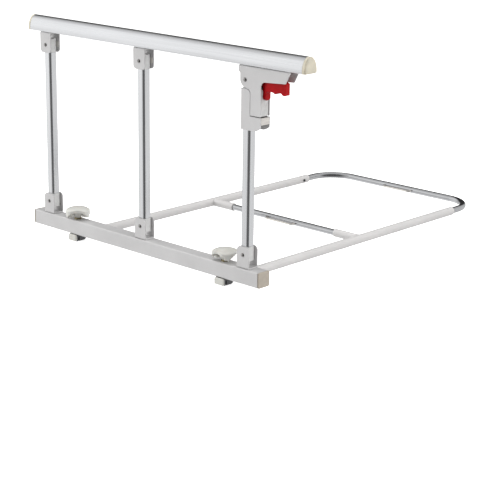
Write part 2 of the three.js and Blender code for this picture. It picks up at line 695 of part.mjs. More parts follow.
function knob() {
  const top = KNOB_TOP_Z - KNOB_SEAT_Z;
  const rim = top - KNOB_CROWN;
  const plateFoot = rim - KNOB_PLATE;
  const dome = [[0, -OVERRUN], [KNOB_RADIUS + SEAT, -OVERRUN], [KNOB_RADIUS + SEAT, rim]];
  for (let step = 1; step <= BEND_STEPS; step += 1) {
    const turn = (step / BEND_STEPS) * QUARTER_TURN;
    const radius = step === BEND_STEPS ? 0 : (KNOB_RADIUS + SEAT) * Math.cos(turn);
    dome.push([radius, rim + KNOB_CROWN * Math.sin(turn)]);
  }
  const crown = turnedUp(dome, KNOB_STEPS);
  const plate = prism(knobOutline(KNOB_RADIUS), 'z', plateFoot, top + OVERRUN);
  const skirtFoot = plateFoot - KNOB_SKIRT;
  const arch = KNOB_RADIUS;
  const lobes = [];
  for (let lobe = 0; lobe < KNOB_LOBES; lobe += 1) {
    const turn = (lobe / KNOB_LOBES) * FULL_TURN;
    const reach = (KNOB_CORE_RADIUS + arch) / 2;
    const width = KNOB_RADIUS - KNOB_CORE_RADIUS;
    lobes.push(rod('z', width, skirtFoot, rim, reach * Math.cos(turn), reach * Math.sin(turn)));
  }
  const skirt = join(...lobes).intersect(prism(knobOutline(KNOB_RADIUS), 'z', skirtFoot, rim));
  const hub = turnedUp([
    [0, 0],
    [KNOB_HUB_FOOT_RADIUS, 0],
    [KNOB_HUB_TOP_RADIUS, plateFoot + SEAT],
    [0, plateFoot + SEAT],
  ], 2 * ROUND_STEPS);
  const body = join(plate.intersect(crown), skirt, hub);
  const bore = rod('z', SCREW_RADIUS + SEAT, -OVERRUN, plateFoot);
  return cut(body, bore);
}

function clampScrew() {
  const top = KNOB_TOP_Z - KNOB_CROWN - KNOB_PLATE - SEAT;
  return rod('z', SCREW_RADIUS, FOOT_TOP_Z - FOOT_HEIGHT, top);
}

// Steel foot below the rail, with its top face at z = 0
function clampFoot() {
  const half = FOOT_WIDTH / 2;
  const solid = block([-half, -FOOT_FRONT, -FOOT_HEIGHT], [half, FOOT_BACK, 0]);
  const thread = rod('z', SCREW_RADIUS + RUNNING, -FOOT_HEIGHT - OVERRUN, OVERRUN);
  const socketRadius = GUIDE_PIN_RADIUS + SEAT;
  const pinHole = rod('z', socketRadius, -FOOT_HEIGHT / 2, OVERRUN, GUIDE_PIN_OFFSET);
  return cut(solid, thread, pinHole);
}

function footShoe() {
  const bevel = {
    bevelEnabled: true,
    bevelThickness: SHOE_BEVEL,
    bevelSize: SHOE_BEVEL,
    bevelOffset: -SHOE_BEVEL,
    bevelSegments: 2,
  };
  const outline = roundedRect(FOOT_WIDTH, FOOT_HEIGHT, FOOT_CORNER, 0, -FOOT_HEIGHT / 2);
  const from = -FOOT_FRONT - SEAT - SHOE_THICKNESS + SHOE_BEVEL;
  const to = -FOOT_FRONT - SEAT - SHOE_BEVEL;
  return prism(outline, 'y', from, to, CORNER_STEPS, bevel);
}

function guidePin() {
  return rod('z', GUIDE_PIN_RADIUS, -FOOT_HEIGHT / 2 + SEAT, GUIDE_PIN_RISE, GUIDE_PIN_OFFSET);
}

function clamp(name, x, turn) {
  const group = new THREE.Group();
  group.position.x = x;
  group.add(piece(`clamp_collar_${name}`, collar(), 'yellowZinc', [0, 0, RAIL_SIDE + SEAT]));
  const handle = piece(`clamp_knob_${name}`, knob(), 'offWhite', [0, 0, KNOB_SEAT_Z]);
  handle.rotation.z = turn;
  group.add(handle);
  group.add(piece(`clamp_screw_${name}`, clampScrew(), 'darkSteel'));
  group.add(piece(`clamp_foot_${name}`, clampFoot(), 'darkSteel', [0, 0, FOOT_TOP_Z]));
  group.add(piece(`clamp_foot_shoe_${name}`, footShoe(), 'offWhite', [0, 0, FOOT_TOP_Z]));
  group.add(piece(`foot_guide_pin_${name}`, guidePin(), 'nickel', [0, 0, FOOT_TOP_Z]));
  return group;
}

// Outline of the latch housing's two plates, in XZ about the right upper pin
function housingOutline() {
  const top = PIN_BELOW_HANDRAIL - SEAT;
  const shoulderX = LEG_START - HOUSING_SHOULDER_RADIUS;
  const shoulderZ = -HOUSING_SHOULDER - HOUSING_SHOULDER_RADIUS;
  const filletX = LEG_END + ARM_FILLET;
  const shape = new THREE.Shape();
  shape.moveTo(ARM_TOP_END, top);
  shape.lineTo(-HOUSING_BACK, top);
  shape.lineTo(-HOUSING_BACK, HOUSING_LIP + HOUSING_BEND);
  shape.lineTo(HOUSING_LOBE_SHIFT - HOUSING_LOBE_RADIUS, HOUSING_LIP);
  shape.absarc(HOUSING_LOBE_SHIFT, 0, HOUSING_LOBE_RADIUS, LOBE_START, LOBE_FINISH, false);
  shape.lineTo(shoulderX, -HOUSING_SHOULDER);
  shape.absarc(shoulderX, shoulderZ, HOUSING_SHOULDER_RADIUS, QUARTER_TURN, 0, true);
  shape.lineTo(LEG_START, -LEG_DROP);
  shape.lineTo(LEG_END, -LEG_DROP);
  shape.lineTo(LEG_END, ARM_ROOT_RISE - ARM_FILLET);
  shape.absarc(filletX, ARM_ROOT_RISE - ARM_FILLET, ARM_FILLET, HALF_TURN, QUARTER_TURN, true);
  shape.lineTo(ARM_UNDERSIDE_END, ARM_TIP_RISE);
  return shape;
}

// Housing: two plates joined by a web under the handrail
function latchHousing() {
  const top = PIN_BELOW_HANDRAIL - SEAT;
  const bottom = -LEG_DROP - OVERRUN;
  const plates = prism(housingOutline(), 'y', -CHANNEL_HALF, CHANNEL_HALF, BEND_STEPS);
  const innerHalf = CHANNEL_HALF - HOUSING_SHEET;
  const hollow = block(
    [-HOUSING_BACK - OVERRUN, -innerHalf, bottom],
    [ARM_TOP_END + OVERRUN, innerHalf, top - HOUSING_SHEET],
  );
  const bend = roundedRect(CLEVIS_WIDTH, 2 * (top - bottom), HOUSING_BEND, 0, bottom);
  const envelope = prism(bend, 'x', -HOUSING_BACK - OVERRUN, ARM_TOP_END + OVERRUN);
  const hole = rod('y', PIN_RADIUS + RUNNING, -CLEVIS_WIDTH, CLEVIS_WIDTH);
  return cut(plates.intersect(envelope), hollow, hole);
}

// Guide block in the housing's leg, bored for the bolt and its spring
function boltGuide() {
  const from = LEG_START + HOUSING_SHEET;
  const to = LEG_END - GUIDE_RECESS;
  const bottom = -LEG_DROP + SEAT;
  const solid = block([from, -GUIDE_HALF_WIDTH, bottom], [to, GUIDE_HALF_WIDTH, -GUIDE_TOP_DROP]);
  const ceiling = -GUIDE_TOP_DROP - GUIDE_NECK;
  const bore = rod('z', BOLT_BORE_RADIUS, bottom - OVERRUN, ceiling, LEG_MIDDLE);
  const neck = rod('z', ROD_BORE_RADIUS, ceiling - OVERRUN, OVERRUN, LEG_MIDDLE);
  const grooveHalf = GUIDE_GROOVE / 2;
  const groove = block(
    [to - GUIDE_GROOVE, -grooveHalf, bottom - OVERRUN],
    [to + OVERRUN, grooveHalf, OVERRUN],
  );
  return cut(solid, bore, neck, groove);
}

// Bolt on its own axis, with z = 0 at the height of the right upper pin
function lockBolt() {
  const dome = [];
  for (let step = 0; step <= DOME_STEPS; step += 1) {
    const turn = (step / DOME_STEPS) * QUARTER_TURN;
    const height = -BOLT_TIP_DROP + BOLT_TIP_RADIUS * (1 - Math.cos(turn));
    dome.push([step === 0 ? 0 : BOLT_TIP_RADIUS * Math.sin(turn), height]);
  }
  const top = TRIGGER_TAIL_RISE - HOUSING_SHEET - SEAT;
  const collarFoot = -BOLT_COLLAR_DROP - BOLT_COLLAR_HEIGHT;
  const profile = [
    ...dome,
    [BOLT_TIP_RADIUS, collarFoot],
    [BOLT_COLLAR_RADIUS, collarFoot],
    [BOLT_COLLAR_RADIUS, -BOLT_COLLAR_DROP],
    [BOLT_ROD_RADIUS, -BOLT_COLLAR_DROP],
    [BOLT_ROD_RADIUS, top],
    [0, top],
  ];
  const hole = rod('y', CROSS_PIN_RADIUS + SEAT, -OVERRUN, OVERRUN, 0, -CROSS_PIN_DROP);
  return cut(turnedUp(profile), hole);
}

// Helix between the guide's ceiling and the bolt's collar
function springPoints() {
  const top = -GUIDE_TOP_DROP - GUIDE_NECK - SEAT - SPRING_WIRE_RADIUS;
  const bottom = -BOLT_COLLAR_DROP + SEAT + SPRING_WIRE_RADIUS;
  const points = [];
  for (let step = 0; step <= SPRING_TURNS * SPRING_STEPS; step += 1) {
    const turn = (step / SPRING_STEPS) * FULL_TURN;
    const along = step / (SPRING_TURNS * SPRING_STEPS);
    const place = [SPRING_RADIUS * Math.cos(turn), SPRING_RADIUS * Math.sin(turn)];
    points.push(new THREE.Vector3(...place, bottom + along * (top - bottom)));
  }
  return points;
}

// Least gap between turns, measured on the helix's own points
function springGap(points) {
  let least = Infinity;
  for (let one = 0; one < points.length; one += 1) {
    for (let other = one + SPRING_STEPS / 2; other < points.length; other += 1) {
      least = Math.min(least, points[one].distanceTo(points[other]));
    }
  }
  return least - 2 * SPRING_WIRE_RADIUS;
}

function boltSpring() {
  const points = springPoints();
  console.log(`bolt spring: least gap between turns ${springGap(points).toFixed(2)} mm`);
  const section = new THREE.Shape();
  for (let side = 0; side < SPRING_SIDES; side += 1) {
    const turn = (side / SPRING_SIDES) * FULL_TURN;
    const place = [SPRING_WIRE_RADIUS * Math.cos(turn), SPRING_WIRE_RADIUS * Math.sin(turn)];
    if (side === 0) section.moveTo(...place);
    else section.lineTo(...place);
  }
  const settings = { steps: points.length - 1, extrudePath: new Route(points) };
  return toSolid(new THREE.ExtrudeGeometry(section, settings));
}

// Trigger with its finger waves, in XZ about the right upper pin
function triggerOutline() {
  const legRadius = (TRIGGER_LEG_END - TRIGGER_LEG_START) / 2;
  const legMiddle = (TRIGGER_LEG_END + TRIGGER_LEG_START) / 2;
  const legFoot = -TRIGGER_LEG_DROP + legRadius;
  const span = TRIGGER_END - TRIGGER_GROOVE_END;
  const shares = GRIP_PLACE_SHARES;
  const flare = TRIGGER_LEG_END + TRIGGER_LEG_FLARE;
  const groove = [flare, -TRIGGER_GRIP_DROP + TRIGGER_GROOVE_RISE];
  const notch = [TRIGGER_GROOVE_END, -TRIGGER_GRIP_DROP + TRIGGER_NOTCH_RISE];
  const bump = [TRIGGER_GROOVE_END + span * shares.bump, -TRIGGER_GRIP_DROP + TRIGGER_BUMP_RISE];
  const recess = [TRIGGER_GROOVE_END + span * shares.recess, -TRIGGER_GRIP_DROP + TRIGGER_RECESS_RISE];
  const hook = [TRIGGER_GROOVE_END + span * shares.hook, -TRIGGER_GRIP_DROP];
  const round = TRIGGER_RECESS_RISE;
  const shape = new THREE.Shape();
  shape.moveTo(TRIGGER_TAIL, TRIGGER_TAIL_RISE);
  shape.lineTo(TRIGGER_TAIL, -TRIGGER_TAIL_DROP);
  shape.lineTo(TRIGGER_LEG_START, -TRIGGER_TAIL_DROP);
  shape.lineTo(TRIGGER_LEG_START, legFoot);
  shape.absarc(legMiddle, legFoot, legRadius, HALF_TURN, FULL_TURN, false);
  shape.lineTo(TRIGGER_LEG_END, groove[1] - TRIGGER_LEG_FLARE);
  shape.quadraticCurveTo(TRIGGER_LEG_END, groove[1], groove[0], groove[1]);
  shape.lineTo(...notch);
  shape.lineTo(bump[0] - round, bump[1] + round / 4);
  shape.quadraticCurveTo(bump[0], bump[1] - round / 4, bump[0] + round, bump[1] + round / 4);
  shape.lineTo(recess[0] - round, recess[1] - round / 8);
  shape.quadraticCurveTo(recess[0] + round / 2, recess[1], hook[0] - round, hook[1] + round / 2);
  shape.quadraticCurveTo(hook[0] - round / 2, hook[1], hook[0], hook[1]);
  shape.lineTo(TRIGGER_END - round / 2, -TRIGGER_GRIP_DROP);
  shape.quadraticCurveTo(TRIGGER_END, -TRIGGER_GRIP_DROP, TRIGGER_END, -TRIGGER_GRIP_DROP + round / 2);
  shape.lineTo(TRIGGER_END, TRIGGER_TOP_RISE);
  shape.lineTo(TRIGGER_GROOVE_END, TRIGGER_TOP_RISE);
  shape.lineTo(TRIGGER_LEG_START, TRIGGER_TAIL_RISE);
  return shape;
}

function trigger() {
  const half = TRIGGER_THICKNESS / 2;
  const bevel = {
    bevelEnabled: true,
    bevelThickness: TRIGGER_EDGE,
    bevelSize: TRIGGER_EDGE,
    bevelOffset: -TRIGGER_EDGE,
    bevelSegments: 2,
  };
  const from = -half + TRIGGER_EDGE;
  const to = half - TRIGGER_EDGE;
  const body = prism(triggerOutline(), 'y', from, to, CORNER_STEPS, bevel);
  const ceiling = TRIGGER_TAIL_RISE - HOUSING_SHEET;
  const bore = rod('z', BOLT_ROD_RADIUS + SEAT, -TRIGGER_LEG_DROP, ceiling, LEG_MIDDLE);
  const wide = TRIGGER_THICKNESS;
  const pinHole = rod('y', CROSS_PIN_RADIUS + SEAT, -wide, wide, LEG_MIDDLE, -CROSS_PIN_DROP);
  const slotRadius = SLOT_PIN_RADIUS + RUNNING;
  const slotHeight = TRIGGER_TRAVEL + 2 * slotRadius;
  const slotMiddle = SLOT_PIN_RISE - TRIGGER_TRAVEL / 2;
  const slotX = TRIGGER_END - SLOT_PIN_BEFORE_END;
  const slot = roundedRect(2 * slotRadius, slotHeight, slotRadius, slotX, slotMiddle);
  return cut(body, bore, pinHole, prism(slot, 'y', -wide, wide, BEND_STEPS));
}

// Pin between the housing's plates that the trigger's slot runs on
function slotPin() {
  const half = CHANNEL_HALF - HOUSING_SHEET - SEAT;
  return rod('y', SLOT_PIN_RADIUS, -half, half, TRIGGER_END - SLOT_PIN_BEFORE_END, SLOT_PIN_RISE);
}

function crossPin() {
  const half = TRIGGER_THICKNESS / 2 - SEAT;
  return rod('y', CROSS_PIN_RADIUS, -half, half, LEG_MIDDLE, -CROSS_PIN_DROP, CORNER_STEPS);
}

function latch() {
  const group = new THREE.Group();
  group.position.set(POST_SPACING, 0, UPPER_PIN_Z);
  group.add(piece('latch_housing', latchHousing(), 'silverPaint'));
  group.add(piece('upper_pin_right', rivet(CLEVIS_WIDTH), 'nickel'));
  group.add(piece('bolt_guide', boltGuide(), 'fitting'));
  group.add(piece('lock_bolt', lockBolt(), 'black', [LEG_MIDDLE, 0, 0]));
  group.add(piece('bolt_spring', boltSpring(), 'brightSteel', [LEG_MIDDLE, 0, 0]));
  group.add(piece('release_trigger', trigger(), 'red'));
  group.add(piece('trigger_cross_pin', crossPin(), 'darkSteel'));
  group.add(piece('trigger_slot_pin', slotPin(), 'nickel'));
  return group;
}

// Outline of the lock sleeve in XZ about the right upper pin: a sleeve with a lug towards +X
function sleeveOutline(inset) {
  const left = -SLEEVE_BACK + inset;
  const top = -SLEEVE_TOP_DROP - inset;
  const right = LEG_START - SLEEVE_GAP - inset;
  const bottom = -SLEEVE_BOTTOM_DROP + inset;
  const lugTop = -LUG_TOP_DROP - inset;
  const lugEnd = LUG_END - inset;
  const lugFoot = -LUG_TOP_DROP - LUG_HEIGHT + inset;
  const corner = HOUSING_SHOULDER_RADIUS - SLEEVE_GAP;
  const shape = new THREE.Shape();
  shape.moveTo(left, top);
  shape.lineTo(left, bottom);
  shape.lineTo(lugEnd - LUG_ROUND, bottom);
  shape.quadraticCurveTo(lugEnd - LUG_ROUND / 2, bottom, lugEnd, lugFoot);
  shape.lineTo(lugEnd, lugTop);
  shape.lineTo(right, lugTop);
  shape.lineTo(right, top - corner);
  shape.absarc(right - corner, top - corner, corner, 0, QUARTER_TURN, false);
  return shape;
}

// Swept space of the bolt's tip in the sleeve's frame as the handrail starts to fold
function boltRamp() {
  const parts = [];
  const reach = BOLT_TIP_RADIUS + STRIKE_GAP;
  const drop = BOLT_TIP_DROP + STRIKE_GAP;
  for (let step = 0; step <= RAMP_STEPS; step += 1) {
    const geometry = new THREE.CylinderGeometry(reach, reach, LEG_DROP, 2 * ROUND_STEPS);
    geometry.rotateX(QUARTER_TURN);
    geometry.translate(LEG_MIDDLE, 0, LEG_DROP / 2 - drop);
    geometry.rotateY(-(step / RAMP_STEPS) * RAMP_TURN);
    parts.push(toSolid(geometry));
  }
  return join(...parts);
}

function lockSleeve() {
  const half = CHANNEL_HALF;
  const body = prism(sleeveOutline(0), 'y', -half, half, CORNER_STEPS);
  const innerHalf = half - SLEEVE_SHEET;
  const hollow = prism(sleeveOutline(SLEEVE_SHEET), 'y', -innerHalf, innerHalf, CORNER_STEPS);
  const lugMouth = block(
    [LEG_START - SLEEVE_GAP, -innerHalf, -SLEEVE_BOTTOM_DROP - OVERRUN],
    [LUG_END + OVERRUN, innerHalf, -LUG_TOP_DROP + OVERRUN],
  );
  const bore = POST_SIDE + 2 * SEAT;
  const passage = roundedRect(bore, bore, POST_CORNER);
  const hole = prism(passage, 'z', -SLEEVE_BOTTOM_DROP - OVERRUN, OVERRUN);
  const length = SLEEVE_BACK + LUG_END + SLEEVE_CORNER;
  const plan = roundedRect(length, 2 * half, SLEEVE_CORNER, length / 2 - SLEEVE_BACK);
  const rounded = body.intersect(prism(plan, 'z', -SLEEVE_BOTTOM_DROP, 0));
  return cut(rounded, hollow, lugMouth, hole);
}

// Strike plate: a level plate with the bolt's hole, bent down over the lug's end
function strikePlate() {
  const half = CHANNEL_HALF - SLEEVE_SHEET - SEAT;
  const from = LEG_START - SLEEVE_GAP + SEAT;
  const top = -LUG_TOP_DROP;
  const level = block([from, -half, top - STRIKE_SHEET], [LUG_END, half, top]);
  const foot = top - STRIKE_DEPTH;
  const upright = block([LUG_END - STRIKE_SHEET, -half, foot], [LUG_END, half, top]);
  return cut(join(level, upright), boltRamp());
}

function lockCatch() {
  const group = new THREE.Group();
  group.position.set(POST_SPACING, 0, UPPER_PIN_Z);
  group.add(piece('lock_sleeve', lockSleeve(), 'silverPaint'));
  group.add(piece('strike_plate', strikePlate(), 'brightSteel'));
  return group;
}

// The whole guard rail
const guardRail = new THREE.Group();
guardRail.add(piece('base_rail', baseRail(), 'silverPaint'));
for (const [name, x, turn] of [['left', RAIL_LEFT - SEAT, HALF_TURN], ['right', RAIL_RIGHT + SEAT, 0]]) {
  const cap = piece(`base_rail_cap_${name}`, railCap(), 'beige', [x, 0, RAIL_SIDE / 2]);
  cap.rotation.z = turn;
  guardRail.add(cap);
}

for (const [name, x] of Object.entries(POST_PLACES)) {
  const ears = clevis(LOWER_EAR, PIN_ABOVE_RAIL);
  guardRail.add(piece(`lower_clevis_${name}`, ears, 'silverPaint', [x, 0, PIN_Z]));
  guardRail.add(piece(`lower_pin_${name}`, rivet(CLEVIS_WIDTH), 'nickel', [x, 0, PIN_Z]));
  guardRail.add(post(name, x));
}

for (const [name, x, inward] of [['left', SIDE_LEFT_X, 1], ['right', SIDE_RIGHT_X, -1]]) {
  guardRail.add(piece(`side_tube_${name}`, sideTube(x, inward), 'whitePaint'));
  guardRail.add(piece(`crossbar_socket_${name}`, socket(x, inward), 'whitePaint'));
  const place = [x, SIDE_TUBE_BACK - SET_SCREW_FROM_END, FRAME_Z];
  const screw = piece(`set_screw_${name}`, setScrew(), 'darkSteel', place);
  screw.rotation.z = -inward * QUARTER_TURN;
  guardRail.add(screw);
}
guardRail.add(piece('middle_crossbar', crossbar(), 'chrome'));
const middleLoop = strapLoop(SOCKET_DEPTH_PLACE, CROSSBAR_RADIUS);
guardRail.add(piece('middle_strap_loop', middleLoop, 'chrome', [0, 0, FRAME_Z]));
guardRail.add(piece('end_frame_tube', endTube(), 'chrome', [0, 0, FRAME_Z]));
const endLoop = strapLoop(FRAME_DEPTH, END_TUBE_RADIUS);
guardRail.add(piece('end_strap_loop', endLoop, 'chrome', [0, 0, FRAME_Z]));

guardRail.add(clamp('left', CLAMP_LEFT_X, LEFT_KNOB_TURN));
guardRail.add(clamp('right', CLAMP_RIGHT_X, RIGHT_KNOB_TURN));

guardRail.add(piece('handrail', handrail(), 'anodised', [0, 0, HANDRAIL_Z]));
for (const [name, x, turn] of [
  ['left', HANDRAIL_LEFT - SEAT, HALF_TURN],
  ['right', HANDRAIL_RIGHT + SEAT, 0],
]) {
  const cap = piece(`handrail_cap_${name}`, handrailCap(), 'ivory', [x, 0, HANDRAIL_Z]);
  cap.rotation.z = turn;
  guardRail.add(cap);
}

for (const name of ['left', 'middle']) {
  const x = POST_PLACES[name];
  const ears = clevis(UPPER_EAR, PIN_BELOW_HANDRAIL);
  const bracket = piece(`upper_bracket_${name}`, ears, 'silverPaint', [x, 0, UPPER_PIN_Z]);
  bracket.rotation.x = HALF_TURN;
  guardRail.add(bracket);
  guardRail.add(piece(`upper_pin_${name}`, rivet(CLEVIS_WIDTH), 'nickel', [x, 0, UPPER_PIN_Z]));
}
guardRail.add(latch());
guardRail.add(lockCatch());

export default guardRail;
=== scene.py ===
"""Folding bed guard rail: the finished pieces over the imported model, their finishes, and a studio.

Shapes are worked out in millimetres and brought to metres when a piece is finished.
+X runs along the base rail towards the latch, +Y back under the mattress, +Z up.
"""
import math

import bmesh
import bpy
from mathutils import Matrix, Vector


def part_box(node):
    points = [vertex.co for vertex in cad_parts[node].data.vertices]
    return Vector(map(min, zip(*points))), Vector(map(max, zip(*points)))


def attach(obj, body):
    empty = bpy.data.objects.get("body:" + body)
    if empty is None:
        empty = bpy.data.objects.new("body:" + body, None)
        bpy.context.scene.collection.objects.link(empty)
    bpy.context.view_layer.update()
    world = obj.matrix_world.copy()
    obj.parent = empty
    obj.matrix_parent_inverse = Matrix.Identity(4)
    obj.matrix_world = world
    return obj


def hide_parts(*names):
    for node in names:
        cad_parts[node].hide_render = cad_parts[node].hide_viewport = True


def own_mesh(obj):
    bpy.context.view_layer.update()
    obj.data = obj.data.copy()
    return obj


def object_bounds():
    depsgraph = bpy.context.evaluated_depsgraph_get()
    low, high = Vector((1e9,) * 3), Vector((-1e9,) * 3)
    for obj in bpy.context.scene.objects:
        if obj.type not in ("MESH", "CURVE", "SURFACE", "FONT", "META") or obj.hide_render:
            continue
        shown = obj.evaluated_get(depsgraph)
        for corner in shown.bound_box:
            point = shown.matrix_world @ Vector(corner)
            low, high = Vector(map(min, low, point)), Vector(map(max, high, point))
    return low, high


bl_info = {
    "name": "Folding bed guard rail",
    "version": (1, 0, 0),
    "blender": (4, 5, 0),
    "location": "3D View > Sidebar > Guard rail",
    "description": "Builds the finished pieces of a folding bed guard rail over its packed model",
    "category": "Object",
}

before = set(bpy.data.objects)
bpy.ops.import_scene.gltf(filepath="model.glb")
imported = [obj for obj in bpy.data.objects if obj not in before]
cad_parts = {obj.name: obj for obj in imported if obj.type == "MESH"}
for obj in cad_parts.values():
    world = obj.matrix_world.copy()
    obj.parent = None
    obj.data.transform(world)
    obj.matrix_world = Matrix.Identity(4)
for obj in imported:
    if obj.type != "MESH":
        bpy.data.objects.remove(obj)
CAD_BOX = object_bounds()

MM = 0.001
TURN = math.tau
QUARTER_TURN_X = Matrix.Rotation(TURN / 4, 4, "X")
HALF_TURN_X = Matrix.Rotation(TURN / 2, 4, "X")
HALF_TURN_Z = Matrix.Rotation(TURN / 2, 4, "Z")
ROUND = 48
WHITE = (1.0, 1.0, 1.0, 1.0)
LEFT_RIGHT = ("left", "right")
POSTS = ("left", "middle", "right")

# Sizes in millimetres: SEAT and RUNNING are the gaps of a fixed and of a moving fit, points closer
# than MERGE are one, and a cut across a piece runs THROUGH to either side of its middle
SEAT = 0.3
RUNNING = 0.3
MERGE = 0.001
THROUGH = 20
PIN_RADIUS = 2.8
EAR_FACE = 12.8
SCREW_RADIUS = 4
GUIDE_PIN_RADIUS = 2
GUIDE_PIN_OFFSET = 8
SIDE_TUBE_RADIUS = 9
CROSSBAR_RADIUS = 6.4
BOLT_X = 26
BOLT_CLEARANCE_RADIUS = 3.3


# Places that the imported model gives

def cad_box(node):
    """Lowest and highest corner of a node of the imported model, in millimetres."""
    low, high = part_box(node)
    return Vector(low) / MM, Vector(high) / MM


def cad_middle(node):
    """Middle of a node's box, in millimetres."""
    low, high = cad_box(node)
    return (low + high) / 2


# Properties

def linear(code):
    """A display colour such as #C8C8C8 as linear red, green and blue."""
    channels = [int(code[start:start + 2], 16) / 255 for start in (1, 3, 5)]
    return tuple(c / 12.92 if c <= 0.04045 else ((c + 0.055) / 1.055) ** 2.4 for c in channels)


def length(name, description, millimetres):
    """A size that a user can change."""
    return bpy.props.FloatProperty(
        name=name, description=description, default=millimetres * MM, min=0.0, unit="LENGTH",
        subtype="DISTANCE",
    )


def colour(name, description, code):
    """A colour that a user can change."""
    return bpy.props.FloatVectorProperty(
        name=name, description=description, default=linear(code), min=0.0, max=1.0, size=3,
        subtype="COLOR",
    )


class GUARD_PG_rail_sizes(bpy.types.PropertyGroup):
    rail_corner: length("Base rail corner", "Outer corner radius of the base rail", 3)
    rail_wall: length("Base rail wall", "Wall of the base rail", 1.5)
    post_corner: length("Post corner", "Outer corner radius of the posts", 5)
    post_wall: length("Post wall", "Wall of the posts", 1.5)
    handrail_wall: length("Handrail wall", "Wall of the handrail", 1.8)
    handrail_straight: length("Handrail side", "Height of the handrail's upright sides", 5)
    handrail_corner: length("Handrail corner", "Lower corner radius of the handrail", 3)
    sheet: length("Bracket sheet", "Thickness of the sheet of the clevises and brackets", 2.5)
    bend: length("Bracket bend", "Outer bend radius of the clevises and brackets", 3)
    ear_corner: length("Ear corner", "Corner radius of the clevises' and brackets' ears", 8)


class GUARD_PG_latch_sizes(bpy.types.PropertyGroup):
    sheet: length("Housing sheet", "Thickness of the latch housing's sheet", 2)
    sleeve_sheet: length("Sleeve sheet", "Thickness of the lock sleeve's sheet", 1.6)
    trigger_edge: length("Trigger edge", "Edge radius of the moulded trigger", 1.5)
    spring_turns: bpy.props.IntProperty(
        name="Spring turns", description="Turns of the bolt's spring", default=7, min=3, max=12,
    )


class GUARD_PG_frame_sizes(bpy.types.PropertyGroup):
    side_wall: length("Side tube wall", "Wall of the white side tubes", 1.8)
    chrome_wall: length("Chrome tube wall", "Wall of the crossbar and the end frame", 1.2)
    end_bend: length("End bend", "Bend radius of the end frame, on its centre line", 65)
    loop_bend: length("Loop bend", "Bend radius of the strap loops", 8)


class GUARD_PG_clamp_sizes(bpy.types.PropertyGroup):
    knob_crown: length("Knob crown", "Height of the knob's dome over its rim", 8)
    thread_pitch: length("Thread pitch", "Pitch of the clamp screw", 2)
    shoe_corner: length("Shoe corner", "Corner radius of the clamp foot's shoe", 3)


class GUARD_PG_colours(bpy.types.PropertyGroup):
    silver_paint: colour("Silver-grey paint", "Powder coat of rail, clevises, brackets, latch", "#CDCCCC")
    white_paint: colour("White paint", "Powder coat of the side tubes", "#D9D7D6")
    anodised_aluminium: colour("Anodised aluminium", "Handrail and posts", "#D2D3D5")
    chrome_plate: colour("Chrome", "Crossbar and end frame", "#B2B3B5")
    ivory_plastic: colour("Ivory plastic", "Caps of the handrail", "#D9D2BF")
    beige_plastic: colour("Beige plastic", "Caps of the base rail", "#B9B0A3")
    off_white_plastic: colour("Off-white plastic", "Knobs and shoes", "#DAD9D3")
    grey_plastic: colour("Grey plastic", "Post fittings and bolt guide", "#D6D6D5")
    nickel_plate: colour("Nickel", "Rivets and pins", "#918F8D")
    yellow_zinc: colour("Yellow zinc", "Collars under the knobs", "#8F8768")
    dark_steel: colour("Phosphated steel", "Clamp screws and feet", "#5A5A5C")
    bright_steel: colour("Bright zinc", "Strike plate, strap loops and spring", "#D9D5D0")
    red_plastic: colour("Red plastic", "Release trigger", "#AC0A12")
    black_steel: colour("Black oxide", "Lock bolt", "#1B1B1D")
    floor: colour("Floor", "Studio floor", "#F4F4F3")


# Shaping, in millimetres

def bevelled(mesh, parts, radius, segments=3, affect="EDGES"):
    """Round a set of edges, or of corners where affect is VERTICES."""
    bmesh.ops.bevel(
        mesh, geom=parts, offset=radius, offset_type="OFFSET", segments=segments, profile=0.5,
        affect=affect, clamp_overlap=True, material=-1,
    )


def spun(mesh, parts, steps, angle=TURN, axis=(0, 0, 1), centre=(0, 0, 0), rise=0, merge=False):
    """Spin parts about an axis, raised along Z by rise at each step, and return the last copy."""
    return bmesh.ops.spin(
        mesh, geom=parts, cent=centre, axis=axis, dvec=(0, 0, rise), angle=angle, steps=steps,
        use_merge=merge, use_duplicate=False,
    )["geom_last"]


def merged(mesh):
    """Merge doubled points."""
    bmesh.ops.remove_doubles(mesh, verts=mesh.verts[:], dist=MERGE)


def everything(mesh):
    """All points, edges and faces, as bisect_plane takes them."""
    return mesh.verts[:] + mesh.edges[:] + mesh.faces[:]


def edges_along(mesh, axis, test=lambda middle: True):
    """Edges that run along an axis and whose middle passes a test."""
    found = []
    for edge in mesh.edges:
        one, two = (vert.co for vert in edge.verts)
        along = two - one
        if along.length > 1e-6 and abs(along.normalized()[axis]) > 0.999 and test((one + two) / 2):
            found.append(edge)
    return found


def soften(mesh, radius, angle=32, segments=2, test=lambda middle: True):
    """Break the sharp edges, so that they catch the light."""
    mesh.normal_update()
    sharp = [
        edge for edge in mesh.edges
        if edge.is_manifold and edge.calc_face_angle(0.0) > math.radians(angle)
        and test((edge.verts[0].co + edge.verts[1].co) / 2)
    ]
    bevelled(mesh, sharp, radius, segments)


def closed(mesh):
    """Merge doubles and turn every face outwards."""
    merged(mesh)
    bmesh.ops.recalc_face_normals(mesh, faces=mesh.faces[:])
    mesh.normal_update()
    return mesh


def walled(mesh, wall):
    """Give an open skin a wall on the inside."""
    bmesh.ops.solidify(mesh, geom=mesh.faces[:], thickness=wall)
    mesh.normal_update()
    return mesh


def pushed(mesh, vector):
    """Push a flat face along a vector and close it to a body."""
    made = bmesh.ops.extrude_face_region(mesh, geom=mesh.faces[:])["geom"]
    verts = [part for part in made if isinstance(part, bmesh.types.BMVert)]
    bmesh.ops.translate(mesh, vec=vector, verts=verts)
    return closed(mesh)


